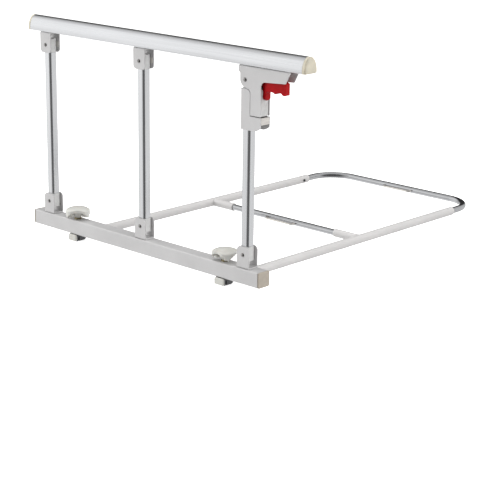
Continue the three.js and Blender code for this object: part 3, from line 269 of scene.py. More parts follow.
def hollow(mesh, wall, is_open):
    """Take the open faces off a closed body and give the rest a wall on the inside."""
    closed(mesh)
    bmesh.ops.delete(mesh, geom=[face for face in mesh.faces if is_open(face)], context="FACES")
    return walled(mesh, wall)


def plate(corners, low, high, segments=8):
    """A flat outline of (x, z, corner radius), pushed along Y from low to high."""
    mesh = bmesh.new()
    verts = [mesh.verts.new((x, low, z)) for x, z, radius in corners]
    mesh.faces.new(verts)
    for index, (vert, (x, z, radius)) in enumerate(zip(verts, corners)):
        if radius == 0:
            continue
        here = Vector((x, z))
        before = (Vector(corners[index - 1][:2]) - here).normalized()
        after = (Vector(corners[(index + 1) % len(corners)][:2]) - here).normalized()
        offset = radius / math.tan(before.angle(after) / 2)
        bevelled(mesh, [vert], offset, segments, "VERTICES")
    return pushed(mesh, (0, high - low, 0))


def turned(profile, steps=ROUND):
    """A turned body about Z from (radius, height) pairs, from its lower pole to its upper one."""
    mesh = bmesh.new()
    verts = [mesh.verts.new((radius, 0, height)) for radius, height in profile]
    edges = [mesh.edges.new(pair) for pair in zip(verts, verts[1:])]
    spun(mesh, verts + edges, steps, merge=True)
    merged(mesh)
    bmesh.ops.dissolve_degenerate(mesh, dist=0.0005, edges=mesh.edges[:])
    return closed(mesh)


def moved(mesh, place=(0, 0, 0), turn=None):
    """Turn a shape about the origin and put it in its place."""
    if turn is not None:
        bmesh.ops.transform(mesh, matrix=turn, verts=mesh.verts[:])
    bmesh.ops.translate(mesh, vec=place, verts=mesh.verts[:])
    return mesh


def temporary(mesh):
    """A shape as an object in the scene, for a boolean."""
    data = bpy.data.meshes.new("temporary")
    mesh.to_mesh(data)
    mesh.free()
    piece = bpy.data.objects.new("temporary", data)
    bpy.context.scene.collection.objects.link(piece)
    return piece


def combined(mesh, tool, operation="DIFFERENCE"):
    """Cut a closed shape out of another, or join the two."""
    body, cutter = temporary(mesh), temporary(tool)
    modifier = body.modifiers.new("cut", "BOOLEAN")
    modifier.operation, modifier.solver, modifier.object = operation, "EXACT", cutter
    graph = bpy.context.evaluated_depsgraph_get()
    graph.update()
    data = bpy.data.meshes.new_from_object(body.evaluated_get(graph))
    result = bmesh.new()
    result.from_mesh(data)
    if not result.faces:
        raise RuntimeError("a cut left nothing of a piece")
    for piece in (body, cutter):
        old = piece.data
        bpy.data.objects.remove(piece)
        bpy.data.meshes.remove(old)
    bpy.data.meshes.remove(data)
    result.normal_update()
    return result


def rod_shape(radius, start, end, steps=ROUND):
    """A closed round bar between two points."""
    start, end = Vector(start), Vector(end)
    along = end - start
    turn = along.to_track_quat("Z", "Y").to_matrix().to_4x4()
    mesh = bmesh.new()
    bmesh.ops.create_cone(
        mesh, cap_ends=True, cap_tris=False, segments=steps, radius1=radius, radius2=radius,
        depth=along.length, matrix=Matrix.Translation((start + end) / 2) @ turn,
    )
    return mesh


def box_shape(low, high):
    """A block between two corners."""
    low, high = Vector(low), Vector(high)
    mesh = bmesh.new()
    place = Matrix.Translation((low + high) / 2) @ Matrix.Diagonal((*(high - low), 1.0))
    bmesh.ops.create_cube(mesh, size=1.0, matrix=place)
    return mesh


def bored(mesh, radius, start, end, steps=ROUND):
    """Bore a round hole through a shape."""
    return combined(mesh, rod_shape(radius, start, end, steps))


def pin_bored(mesh):
    """Bore the hole for a rivet that runs along Y at the origin."""
    return bored(mesh, PIN_RADIUS + RUNNING, (0, -THROUGH, 0), (0, THROUGH, 0))


def square_shape(low, high, axis, corner, segments=6):
    """A block whose edges along one axis are rounded."""
    mesh = box_shape(low, high)
    bevelled(mesh, edges_along(mesh, axis), corner, segments)
    return mesh


def tube_shape(radius, wall, start, end, steps=ROUND):
    """An open round tube between two points."""
    mesh = rod_shape(radius, start, end, steps)
    along = (Vector(end) - Vector(start)).normalized()
    hollow(mesh, wall, lambda face: abs(face.normal.dot(along)) > 0.9)
    return mesh


def bent_shape(radius, left, right, start, far, bend, steps=24, wall=None):
    """A round bar bent to a U that opens along Y: legs from start, closed at far."""
    mesh = bmesh.new()
    side = math.copysign(1, far - start)
    place = Matrix.Translation((left, start, 0)) @ QUARTER_TURN_X
    bmesh.ops.create_circle(mesh, cap_ends=False, segments=steps, radius=radius, matrix=place)
    ring = mesh.edges[:]

    def run(vector):
        """Draw the open end of the bar out straight."""
        nonlocal ring
        made = bmesh.ops.extrude_edge_only(mesh, edges=ring)["geom"]
        ring = [part for part in made if isinstance(part, bmesh.types.BMEdge)]
        ring = [edge for edge in ring if len(edge.link_faces) == 1]
        verts = {vert for edge in ring for vert in edge.verts}
        bmesh.ops.translate(mesh, vec=vector, verts=list(verts))

    def turn_about(x, y):
        """Bend the open end a quarter turn about a point."""
        nonlocal ring
        verts = {vert for edge in ring for vert in edge.verts}
        made = spun(mesh, list(verts) + ring, 14, -side * TURN / 4, centre=(x, y, 0))
        ring = [part for part in made if isinstance(part, bmesh.types.BMEdge)]

    def capped(end):
        """Close the mouth on one side."""
        rim = [edge for edge in mesh.edges if len(edge.link_faces) == 1]
        rim = [edge for edge in rim if (edge.verts[0].co.x - (left + right) / 2) * end > 0]
        return bmesh.ops.contextual_create(mesh, geom=rim)["faces"]

    run((0, far - side * bend - start, 0))
    turn_about(left + bend, far - side * bend)
    run((right - left - 2 * bend, 0, 0))
    turn_about(right - bend, far - side * bend)
    run((0, start - far + side * bend, 0))
    if wall is not None:
        merged(mesh)
    caps = capped(-1) + capped(1)
    if wall is None:
        return closed(mesh)
    bmesh.ops.recalc_face_normals(mesh, faces=mesh.faces[:])
    bmesh.ops.delete(mesh, geom=caps, context="FACES")
    return walled(mesh, wall)


def finish_piece(mesh, name, finish, body, *nodes, angle=34):
    """Bring a shape to metres, give it its finish and hang it on its body in place of CAD nodes."""
    bmesh.ops.scale(mesh, vec=(MM, MM, MM), verts=mesh.verts[:])
    data = bpy.data.meshes.new(name)
    mesh.to_mesh(data)
    mesh.free()
    data.shade_smooth()
    data.set_sharp_from_angle(angle=math.radians(angle))
    data.materials.append(material(finish))
    piece = bpy.data.objects.new(name, data)
    bpy.context.scene.collection.objects.link(piece)
    even = piece.modifiers.new("even_faces", "WEIGHTED_NORMAL")
    even.keep_sharp, even.weight = True, 80
    shaded = piece.evaluated_get(bpy.context.evaluated_depsgraph_get())
    piece.data = bpy.data.meshes.new_from_object(shaded)
    piece.data.name = name
    piece.modifiers.clear()
    bpy.data.meshes.remove(data)
    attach(piece, body)
    if nodes:
        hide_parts(*nodes)
    return piece


# Finishes

COAT_ROUGHNESS = 0.12
SCATTER_SHARE = 0.3
SCATTER_DEPTH = 0.0015
SCATTER_COLOUR = (1.0, 0.85, 0.7)


def add_node(tree, kind, links=(), **values):
    """Add a node, set its properties and plain sockets, and link (from socket, to name) pairs."""
    node = tree.nodes.new(kind)
    for name, value in values.items():
        if hasattr(node, name):
            setattr(node, name, value)
        else:
            socket = next(s for s in node.inputs if s.name.replace(" ", "_").lower() == name.lower())
            socket.default_value = value
    for source, target in links:
        tree.links.new(source, node.inputs[target])
    return node


# Each finish: its slot, which names its colour too, the shader's own values, and three patterns.
# metal, coat and depth, the light inside, are 0 unless given, and gloss, the specular level, 0.5;
# tone is the share by which the colour drifts, at tone_mm across, or drift the colour it goes to;
# rough_range is how far the roughness drifts, at rough_mm across;
# skin is the height in mm of the surface's own relief, at skin_mm across;
# grain scales the patterns on each axis, and a small share draws them out along it.
FINISHES = {
    # Polyester powder baked on steel: a fine orange peel that breaks up reflections
    "silver_powder_coat": {
        "slot": "silver_paint", "rough": 0.42, "coat": 0.3, "tone": 0.05, "tone_mm": 60,
        "rough_range": 0.10, "rough_mm": 9, "skin": 0.012, "skin_mm": 1.1,
    },
    # Gloss white powder on round tube: the same peel, shinier
    "white_powder_coat": {
        "slot": "white_paint", "rough": 0.36, "coat": 0.12, "tone": 0.04, "tone_mm": 70,
        "rough_range": 0.10, "rough_mm": 12, "skin": 0.010, "skin_mm": 1.3,
    },
    # Aluminium extruded, etched and anodised: faint die lines along the profile and a satin sheen
    "anodised_handrail": {
        "slot": "anodised_aluminium", "metal": 1.0, "rough": 0.30, "tone": 0.05, "tone_mm": 3,
        "rough_range": 0.10, "rough_mm": 1.6, "skin": 0.006, "skin_mm": 0.9, "grain": (0.012, 1.0, 1.0),
    },
    "anodised_post": {
        "slot": "anodised_aluminium", "metal": 1.0, "rough": 0.23, "tone": 0.05, "tone_mm": 3,
        "rough_range": 0.10, "rough_mm": 1.6, "skin": 0.006, "skin_mm": 0.9, "grain": (1.0, 1.0, 0.012),
    },
    # Chrome plated on polished tube: near-mirror with faint polishing haze
    "chromed_tube": {
        "slot": "chrome_plate", "metal": 1.0, "rough": 0.07, "tone": 0.04, "tone_mm": 30,
        "rough_range": 0.07, "rough_mm": 14, "skin": 0.002, "skin_mm": 2.5,
    },
    # Nylon moulded in a spark-eroded tool: fine matt grain, light scattered inside
    "ivory_moulding": {
        "slot": "ivory_plastic", "rough": 0.48, "tone": 0.08, "tone_mm": 14,
        "rough_range": 0.12, "rough_mm": 5, "skin": 0.02, "skin_mm": 0.8, "depth": 0.6,
    },
    # Polyethylene plug: matt, a little dull and uneven
    "beige_moulding": {
        "slot": "beige_plastic", "rough": 0.55, "tone": 0.09, "tone_mm": 12,
        "rough_range": 0.12, "rough_mm": 5, "skin": 0.02, "skin_mm": 0.8, "depth": 0.4,
    },
    # Polypropylene knob and shoe: satin, slightly milky
    "off_white_moulding": {
        "slot": "off_white_plastic", "rough": 0.36, "coat": 0.1, "tone": 0.06, "tone_mm": 16,
        "rough_range": 0.12, "rough_mm": 6, "skin": 0.015, "skin_mm": 1.0, "depth": 0.6,
    },
    # Glass-filled nylon fitting: matt with faint flow marks
    "grey_moulding": {
        "slot": "grey_plastic", "rough": 0.45, "tone": 0.10, "tone_mm": 9,
        "rough_range": 0.14, "rough_mm": 4, "skin": 0.02, "skin_mm": 0.7,
    },
    # Nickel barrelled on small turned pins: bright with tiny tumbling marks
    "nickelled_pin": {
        "slot": "nickel_plate", "metal": 1.0, "rough": 0.08, "tone": 0.06, "tone_mm": 2,
        "rough_range": 0.08, "rough_mm": 1.5, "skin": 0.003, "skin_mm": 0.8,
    },
    # Zinc with a yellow passivate: straw colour that drifts to green and pink
    "yellow_passivate": {
        "slot": "yellow_zinc", "metal": 1.0, "rough": 0.30, "tone": 0.30, "tone_mm": 5,
        "rough_range": 0.12, "rough_mm": 3, "skin": 0.006, "skin_mm": 0.8, "drift": "#857A66",
    },
    # Steel with a manganese phosphate: dark, slightly mottled and oily
    "phosphated_steel": {
        "slot": "dark_steel", "metal": 0.9, "rough": 0.42, "tone": 0.22, "tone_mm": 4,
        "rough_range": 0.16, "rough_mm": 3, "skin": 0.010, "skin_mm": 0.6,
    },
    # Bright zinc on pressed steel: clear and cool with drawing lines
    "bright_zinc": {
        "slot": "bright_steel", "metal": 1.0, "rough": 0.20, "tone": 0.08, "tone_mm": 3,
        "rough_range": 0.12, "rough_mm": 2, "skin": 0.004, "skin_mm": 0.8, "grain": (1.0, 0.06, 1.0),
    },
    # Red nylon moulded in a polished tool: semi-gloss, slightly uneven at the thick places
    "red_moulding": {
        "slot": "red_plastic", "rough": 0.34, "tone": 0.12, "tone_mm": 12,
        "rough_range": 0.12, "rough_mm": 5, "skin": 0.014, "skin_mm": 1.2, "gloss": 0.12,
    },
    # Steel with a black oxide: near-black with a worn sheen
    "black_oxide": {
        "slot": "black_steel", "metal": 0.7, "rough": 0.36, "tone": 0.35, "tone_mm": 3,
        "rough_range": 0.16, "rough_mm": 2, "skin": 0.004, "skin_mm": 0.6,
    },
}


def material(finish):
    """The procedural material of a finish, made once."""
    if finish in bpy.data.materials:
        return bpy.data.materials[finish]
    values = FINISHES[finish]
    base = getattr(bpy.context.scene.guard_colours, values["slot"])
    result = bpy.data.materials.new(finish)
    result.use_nodes = True
    tree = result.node_tree
    tree.nodes.clear()
    places = add_node(tree, "ShaderNodeTexCoord").outputs["Object"]
    grain = values.get("grain", (1.0, 1.0, 1.0))
    stretched = add_node(tree, "ShaderNodeMapping", [(places, "Vector")], vector_type="POINT", scale=grain)
    places = stretched.outputs["Vector"]

    def pattern(across_mm, detail, roughness):
        """Noise whose lumps are about as wide as given."""
        return add_node(
            tree, "ShaderNodeTexNoise", [(places, "Vector")], noise_dimensions="3D",
            scale=1.0 / (across_mm * MM), detail=detail, roughness=roughness,
        ).outputs["Fac"]

    tone, tone_share = pattern(values["tone_mm"], 4.0, 0.55), values["tone"]
    light = [min(1.0, channel * (1 + tone_share)) for channel in base]
    dark = [channel * (1 - tone_share) for channel in base]
    if "drift" in values:
        dark = linear(values["drift"])
    ramp = add_node(tree, "ShaderNodeValToRGB", [(tone, "Fac")])
    ramp.color_ramp.elements[0].position, ramp.color_ramp.elements[1].position = 0.30, 0.70
    ramp.color_ramp.elements[0].color = (*dark, 1.0)
    ramp.color_ramp.elements[1].color = (*light, 1.0)
    dull = add_node(
        tree, "ShaderNodeMapRange", [(pattern(values["rough_mm"], 3.0, 0.5), "Value")],
        from_min=0.3, from_max=0.7, to_min=max(0.02, values["rough"] - values["rough_range"] / 2),
        to_max=values["rough"] + values["rough_range"] / 2,
    )
    relief = add_node(
        tree, "ShaderNodeBump", [(pattern(values["skin_mm"], 2.0, 0.5), "Height")],
        strength=1.0, distance=values["skin"] * MM,
    )
    shader = add_node(
        tree, "ShaderNodeBsdfPrincipled",
        [(ramp.outputs["Color"], "Base Color"), (dull.outputs["Result"], "Roughness"),
         (relief.outputs["Normal"], "Normal")],
        metallic=values.get("metal", 0.0), coat_weight=values.get("coat", 0.0),
        coat_roughness=COAT_ROUGHNESS,
        specular_ior_level=values.get("gloss", 0.5),
        subsurface_weight=values.get("depth", 0.0) * SCATTER_SHARE, subsurface_scale=SCATTER_DEPTH,
        subsurface_radius=SCATTER_COLOUR,
    )
    add_node(tree, "ShaderNodeOutputMaterial", [(shader.outputs["BSDF"], "Surface")])
    return result


# Pieces

def rail_cap(low, high):
    """Plug for the right end of the base rail, with its flange's inner face at x = 0."""
    half = (high.y - low.y) / 2
    flange, neck = 3.5, 1.1
    mesh = square_shape((neck, -half, -half), (flange, half, half), 0, 3, 6)
    rim = [edge for edge in mesh.edges if all(abs(vert.co.x - flange) < 1e-4 for vert in edge.verts)]
    bevelled(mesh, rim, 1.2, 4)
    outer, inner, depth = half - 1.8, half - 3.8, 12
    plug = square_shape((-depth, -outer, -outer), (neck + 0.5, outer, outer), 0, 1.6)
    mesh = combined(closed(mesh), plug, "UNION")
    mesh = combined(mesh, square_shape((-depth - 1, -inner, -inner), (0, inner, inner), 0, 1.2))
    soften(mesh, 0.2, angle=50)
    return mesh


def ear_bracket(wide, seat, sizes):
    """Bent sheet with two round-cornered ears, about its pin, seated below it."""
    sheet, bend, corner = (getattr(sizes, name) / MM for name in ("sheet", "bend", "ear_corner"))
    half, top, bottom = EAR_FACE, 16.0, SEAT - seat
    mesh = box_shape((-wide / 2, -half, bottom), (wide / 2, half, top))
    bevelled(mesh, edges_along(mesh, 0, lambda middle: middle.z < 0), bend, 6)
    hollow(mesh, sheet, lambda face: abs(face.normal.x) > 0.9 or face.normal.z > 0.9)
    corners = edges_along(mesh, 1, lambda middle: middle.z > top - 0.01 and abs(middle.x) > wide / 2 - 0.01)
    bevelled(mesh, corners, corner, 10)
    mesh = pin_bored(mesh)
    soften(mesh, 0.45)
    return mesh


def rivet(face):
    """Rivet along Y with a domed head over each outer face."""
    ball, sunk, spread, steps = 5, 3, TURN * 0.1476, 10
    dome = [spread * step / steps for step in range(steps + 1)]
    head = [(ball * math.sin(angle), face - sunk + ball * math.cos(angle)) for angle in dome]
    mesh = turned(
        [(across, -along) for across, along in head] + [(PIN_RADIUS, -face), (PIN_RADIUS, face)] + head[::-1],
        40,
    )
    return moved(mesh, turn=QUARTER_TURN_X)


def post_fitting():
    """Moulded end of a post about its pin, with its spigot up."""
    half, foot, corner, plug = 8.8, -12, 3.6, 7.7
    mesh = square_shape((-10, -half, foot), (10, half, 15.7), 2, corner)
    bevelled(mesh, edges_along(mesh, 1, lambda middle: middle.z < foot + 0.1), 3.5, 4)
    mesh = combined(closed(mesh), rod_shape(5.5, (0, -10, 0), (0, 10, 0)), "UNION")
    mesh = combined(mesh, square_shape((-plug, -plug, 12), (plug, plug, 36), 2, corner), "UNION")
    mesh = pin_bored(mesh)
    soften(mesh, 0.5)
    return mesh


def handrail_section(inset, sizes):
    """Half-ellipse over short upright sides and a flat underside, as one face at x = 0."""
    half, high = 16.5 - inset, 30 - inset
    straight, corner = sizes.handrail_straight / MM, sizes.handrail_corner / MM
    mesh = bmesh.new()
    crown = mesh.verts.new((0, half, 0))
    spun(mesh, [crown], 40, TURN / 2, axis=(1, 0, 0))
    bmesh.ops.scale(mesh, vec=(1, 1, (high - straight) / half), verts=mesh.verts[:])
    bmesh.ops.translate(mesh, vec=(0, 0, straight), verts=mesh.verts[:])
    ends = sorted((vert for vert in mesh.verts if len(vert.link_edges) == 1), key=lambda vert: vert.co.y)
    feet = [mesh.verts.new((0, vert.co.y, inset)) for vert in ends]
    for pair in ((ends[0], feet[0]), (ends[1], feet[1]), feet):
        mesh.edges.new(pair)
    bmesh.ops.contextual_create(mesh, geom=mesh.edges[:])
    bevelled(mesh, feet, max(corner - inset, 0.8), 6, "VERTICES")
    return mesh


def along_x(mesh, start, end):
    """Push a face at x = 0 along X from one place to another."""
    bmesh.ops.translate(mesh, vec=(start, 0, 0), verts=mesh.verts[:])
    return pushed(mesh, (end - start, 0, 0))


def at_end(mesh, side, low, high, height):
    """Put a cap that is shaped for the right end in its place at either end of a rail."""
    if side == "right":
        return moved(mesh, (high.x + SEAT, 0, height))
    return moved(mesh, (low.x - SEAT, 0, height), HALF_TURN_Z)


def drawn(mesh, face, rings, centre):
    """Draw a face out along X in rings of (x, share of its size) about a centre."""
    size = 1.0
    for place, share in rings:
        face = bmesh.ops.extrude_discrete_faces(mesh, faces=[face])["faces"][0]
        verts = face.verts[:]
        bmesh.ops.translate(mesh, vec=(place - verts[0].co.x, 0, 0), verts=verts)
        step = (1, share / size, share / size)
        bmesh.ops.scale(mesh, vec=step, space=Matrix.Translation(-Vector(centre)), verts=verts)
        size = share
    return closed(mesh)


def handrail_cap(sizes):
    """Cap for the right end of the handrail: a band, a crease and a crowned end face."""
    mesh = along_x(handrail_section(0, sizes), 0, 4.6)
    face = max((face for face in mesh.faces if face.normal.x > 0.9), key=lambda face: face.calc_area())
    rings = (
        (5.0, 0.985), (4.7, 0.960), (4.7, 0.945), (5.6, 0.940), (6.6, 0.915),
        (7.3, 0.86), (7.7, 0.76), (7.9, 0.55), (8.0, 0.25),
    )
    drawn(mesh, face, rings, (0, 0, 12.5))
    plug = along_x(handrail_section(2.1, sizes), -14, 2)
    return combined(mesh, plug, "UNION")


def knob_wave(vert):
    """0 at the middle of each of the knob's three lobes and 1 between them."""
    return (1 - math.cos(3 * math.atan2(vert.co.y, vert.co.x))) / 2


def knob_shape(sizes, top, foot):
    """Moulded knob: a crowned shell with three lobes, arches between them, a hub and ribs."""
    crown, reach, waist, wall = sizes.knob_crown / MM, 25.5, 0.2, 2.4
    arch, arch_power, core_radius, core_place = 12.5, 0.36, 5.6, 16.5
    rim = top - crown

    def dome(vert):
        """Height of the knob's crown over a point."""
        across = vert.co.xy.length / (reach + 0.3)
        return rim + crown * math.sqrt(max(0.0, 1 - across ** 2))

    mesh = bmesh.new()
    bmesh.ops.create_circle(mesh, cap_ends=True, segments=132, radius=reach)
    for vert in mesh.verts:
        vert.co.xy *= 1 - waist * knob_wave(vert) ** 2
    lid = next(iter(mesh.faces))
    size = 1.0
    for share in (0.975, 0.93, 0.86, 0.77, 0.65, 0.52, 0.38, 0.24, 0.10):
        lid = bmesh.ops.extrude_discrete_faces(mesh, faces=[lid])["faces"][0]
        bmesh.ops.scale(mesh, vec=(share / size, share / size, 1), verts=lid.verts[:])
        size = share
    for vert in mesh.verts:
        vert.co.z = dome(vert)
    merged(mesh)
    edge = [side for side in mesh.edges if side.is_boundary]
    for share in (0.08, 0.5, 1.0):
        skirt = bmesh.ops.extrude_edge_only(mesh, edges=edge)["geom"]
        edge = [part for part in skirt if isinstance(part, bmesh.types.BMEdge)]
        for vert in {vert for side in edge for vert in side.verts}:
            start = dome(vert)
            end = foot + arch * knob_wave(vert) ** arch_power
            vert.co.z = start + (end - start) * share
    bmesh.ops.contextual_create(mesh, geom=edge)
    closed(mesh)
    base = min(mesh.faces, key=lambda face: face.calc_center_median().z - face.calc_area())
    bmesh.ops.delete(mesh, geom=[base], context="FACES")
    walled(mesh, wall)
    inside = top - 3.2
    hub = turned([(0, 0), (6.5, 0), (8.0, 2.5), (12.5, 9), (14, rim), (14, inside), (0, inside)])
    mesh = combined(mesh, hub, "UNION")
    for lobe in range(3):
        turn = TURN * lobe / 3
        x, y = core_place * math.cos(turn), core_place * math.sin(turn)
        mesh = combined(mesh, rod_shape(core_radius, (x, y, foot + 1.6), (x, y, rim + 4)), "UNION")
    return bored(mesh, SCREW_RADIUS + RUNNING, (0, 0, -6), (0, 0, rim - 3.5))


def screw_shape(radius, root, pitch, low, high, steps=20):
    """Right-hand threaded rod about Z."""
    mesh = bmesh.new()
    profile = [(root, 0), (radius, 0.3), (radius, 0.45), (root, 0.75), (root, 1)]
    verts = [mesh.verts.new((across, 0, low + (share - 1) * pitch)) for across, share in profile]
    edges = [mesh.edges.new(pair) for pair in zip(verts, verts[1:])]
    turns = math.ceil((high - low) / pitch) + 2
    spun(mesh, verts + edges, steps * turns, TURN * turns, rise=pitch / steps)
    merged(mesh)
    for height, side in ((low, -1), (high, 1)):
        bmesh.ops.bisect_plane(
            mesh, geom=everything(mesh), dist=0.0001, plane_co=(0, 0, height), plane_no=(0, 0, side),
            clear_outer=True, clear_inner=False,
        )
        rim = [edge for edge in mesh.edges if edge.is_boundary]
        rim = [edge for edge in rim if all(abs(vert.co.z - height) < 0.001 for vert in edge.verts)]
        bmesh.ops.contextual_create(mesh, geom=rim)
    return closed(mesh)


def weld_bead(radius, fillet, steps=56):
    """Weld around a tube that stands on a flat face at y = 0, with the ripples of its passes."""
    ripple, ripples = 0.16, 26
    mesh = bmesh.new()
    place = Matrix.Translation((radius, 0.0, 0.0))
    bmesh.ops.create_circle(mesh, cap_ends=False, segments=12, radius=fillet, matrix=place)
    spun(mesh, mesh.verts[:] + mesh.edges[:], steps, axis=(0, 1, 0), merge=True)
    closed(mesh)
    for vert in mesh.verts:
        around = math.atan2(vert.co.z, vert.co.x)
        vert.co += vert.normal * (ripple * math.cos(around * ripples))
    bmesh.ops.bisect_plane(
        mesh, geom=everything(mesh), dist=0.0001, plane_co=(0, 0, 0), plane_no=(0, -1, 0),
        clear_outer=True, clear_inner=False,
    )
    rim = [edge for edge in mesh.edges if edge.is_boundary]
    inner = [edge for edge in rim if edge.verts[0].co.length < radius]
    outer = [edge for edge in rim if edge.verts[0].co.length >= radius]
    bmesh.ops.bridge_loops(mesh, edges=inner + outer)
    return closed(mesh)


class GUARD_OT_base_rail(bpy.types.Operator):
    """Build the square base rail with its screw holes, and the plugs in its ends"""
    bl_idname = "guard_rail.base_rail"
    bl_label = "Base rail and plugs"

    def execute(self, context):
        sizes = context.scene.guard_rail_sizes
        low, high = cad_box("base_rail")
        mesh = square_shape(low, high, 0, sizes.rail_corner / MM)
        hollow(mesh, sizes.rail_wall / MM, lambda face: abs(face.normal.x) > 0.9)
        for side in LEFT_RIGHT:
            x = cad_middle(f"clamp_screw_{side}").x
            guide = x + GUIDE_PIN_OFFSET
            mesh = bored(mesh, SCREW_RADIUS + RUNNING, (x, 0, -6), (x, 0, 36))
            mesh = bored(mesh, GUIDE_PIN_RADIUS + RUNNING, (guide, 0, -6), (guide, 0, 7), 24)
        soften(mesh, 0.25)
        finish_piece(mesh, "rail_profile", "silver_powder_coat", "base", "base_rail")
        for side in LEFT_RIGHT:
            mesh = at_end(rail_cap(low, high), side, low, high, (low.z + high.z) / 2)
            finish_piece(mesh, f"rail_plug_{side}", "beige_moulding", "base", f"base_rail_cap_{side}")
        return {"FINISHED"}


class GUARD_OT_brackets(bpy.types.Operator):
    """Bend the three clevises on the base rail and the two brackets under the handrail"""
    bl_idname = "guard_rail.brackets"
    bl_label = "Clevises and brackets"

    def execute(self, context):
        sizes = context.scene.guard_rail_sizes
        for side in POSTS:
            pin = cad_middle(f"lower_pin_{side}")
            mesh = moved(ear_bracket(30, 26.2, sizes), pin)
            finish_piece(mesh, f"clevis_{side}", "silver_powder_coat", "base", f"lower_clevis_{side}")
        for side in POSTS[:2]:
            pin = cad_middle(f"upper_pin_{side}")
            mesh = moved(ear_bracket(32, 25.8, sizes), pin, HALF_TURN_X)
            node = f"upper_bracket_{side}"
            finish_piece(mesh, f"bracket_{side}", "silver_powder_coat", "handrail_arm", node)
            mesh = square_shape((5.9, 9.1, -5.5), (14.7, 10.3, 5.5), 1, 1.2, 4)
            soften(mesh, 0.25)
            finish_piece(moved(mesh, pin), f"ear_pad_{side}", "off_white_moulding", "handrail_arm")
        return {"FINISHED"}


class GUARD_OT_rivets(bpy.types.Operator):
    """Set the six rivets that the posts turn on"""
    bl_idname = "guard_rail.rivets"
    bl_label = "Rivets"

    def execute(self, context):
        for level, body in (("lower", "base"), ("upper", "handrail_arm")):
            for side in POSTS:
                node = f"{level}_pin_{side}"
                mesh = moved(rivet(EAR_FACE + SEAT), cad_middle(node))
                finish_piece(mesh, f"rivet_{level}_{side}", "nickelled_pin", body, node, angle=50)
        return {"FINISHED"}


class GUARD_OT_posts(bpy.types.Operator):
    """Build the three post tubes and the moulded fittings in their ends"""
    bl_idname = "guard_rail.posts"
    bl_label = "Posts and fittings"

    def execute(self, context):
        sizes = context.scene.guard_rail_sizes
        for side in POSTS:
            body = f"{side}_post"
            low, high = cad_box(f"post_tube_{side}")
            mesh = square_shape(low, high, 2, sizes.post_corner / MM, 8)
            hollow(mesh, sizes.post_wall / MM, lambda face: abs(face.normal.z) > 0.9)
            soften(mesh, 0.2)
            finish_piece(mesh, f"post_{side}", "anodised_post", body, f"post_tube_{side}")
            for level in ("lower", "upper"):
                turn = None if level == "lower" else HALF_TURN_X
                mesh = moved(post_fitting(), cad_middle(f"{level}_pin_{side}"), turn)
                name = f"{level}_post_fitting_{side}"
                finish_piece(mesh, f"{level}_fitting_{side}", "grey_moulding", body, name)
        return {"FINISHED"}


class GUARD_OT_handrail(bpy.types.Operator):
    """Build the handrail profile and the caps on its ends"""
    bl_idname = "guard_rail.handrail"
    bl_label = "Handrail and caps"

    def execute(self, context):
        sizes = context.scene.guard_rail_sizes
        low, high = cad_box("handrail")
        mesh = along_x(handrail_section(0, sizes), low.x, high.x)
        hollow(mesh, sizes.handrail_wall / MM, lambda face: abs(face.normal.x) > 0.9)
        soften(mesh, 0.2, angle=50)
        moved(mesh, (0, 0, low.z))
        finish_piece(mesh, "handrail_profile", "anodised_handrail", "handrail_arm", "handrail")
        for side in LEFT_RIGHT:
            mesh = at_end(handrail_cap(sizes), side, low, high, low.z)
            node = f"handrail_cap_{side}"
            finish_piece(mesh, f"handrail_end_{side}", "ivory_moulding", "handrail_arm", node)
        return {"FINISHED"}


class GUARD_OT_latch_housing(bpy.types.Operator):
    """Bend the latch housing and mould the guide for its bolt"""
    bl_idname = "guard_rail.latch_housing"
    bl_label = "Latch housing and guide"

    def execute(self, context):
        sizes = context.scene.guard_latch_sizes
        pin = cad_middle("upper_pin_right")
        top, sheet = 25.3, sizes.sheet / MM
        corners = [
            (107.4, top, 0), (-16, top, 0), (-16, 14, 2), (-12, 12, 2), (-12, -10.86, 14),
            (4, -15, 0), (13.5, -15, 9.5), (13.5, -63.3, 1), (38.5, -63.3, 1), (38.5, 0.2, 9.5),
            (96, 3.8, 1.5),
        ]
        mesh = plate(corners, -EAR_FACE, EAR_FACE, 10)
        bends = edges_along(mesh, 0, lambda middle: middle.z > top - 0.01)
        bevelled(mesh, bends, sheet + 1, 6)

        def is_open(face):
            """Every face between the two plates but the roof."""
            roof = face.normal.z > 0.99 and face.calc_center_median().z > top - 0.01
            return abs(face.normal.y) < 0.01 and not roof

        hollow(mesh, sheet, is_open)
        mesh = combined(mesh, box_shape((97, -10.8, top - 4), (112, 10.8, top + 4)))
        mesh = pin_bored(mesh)
        soften(mesh, 0.4)
        moved(mesh, pin)
        finish_piece(mesh, "latch_sheet", "silver_powder_coat", "handrail_arm", "latch_housing")

        mesh = box_shape((15.5, -9.9, -63), (37.3, 9.9, -15))
        bevelled(mesh, edges_along(mesh, 2, lambda middle: middle.x > 37), 1.8, 4)
        mesh = bored(mesh, 5, (BOLT_X, 0, -70), (BOLT_X, 0, -24))
        mesh = bored(mesh, BOLT_CLEARANCE_RADIUS, (BOLT_X, 0, -30), (BOLT_X, 0, -10))
        for middle, half in ((-4.6, 0.4), (0.4, 0.5), (5.0, 0.4)):
            mesh = combined(mesh, box_shape((36.8, middle - half, -70), (40, middle + half, -10)))
        soften(mesh, 0.3)
        moved(mesh, pin)
        finish_piece(mesh, "bolt_guide_block", "grey_moulding", "handrail_arm", "bolt_guide")
        return {"FINISHED"}


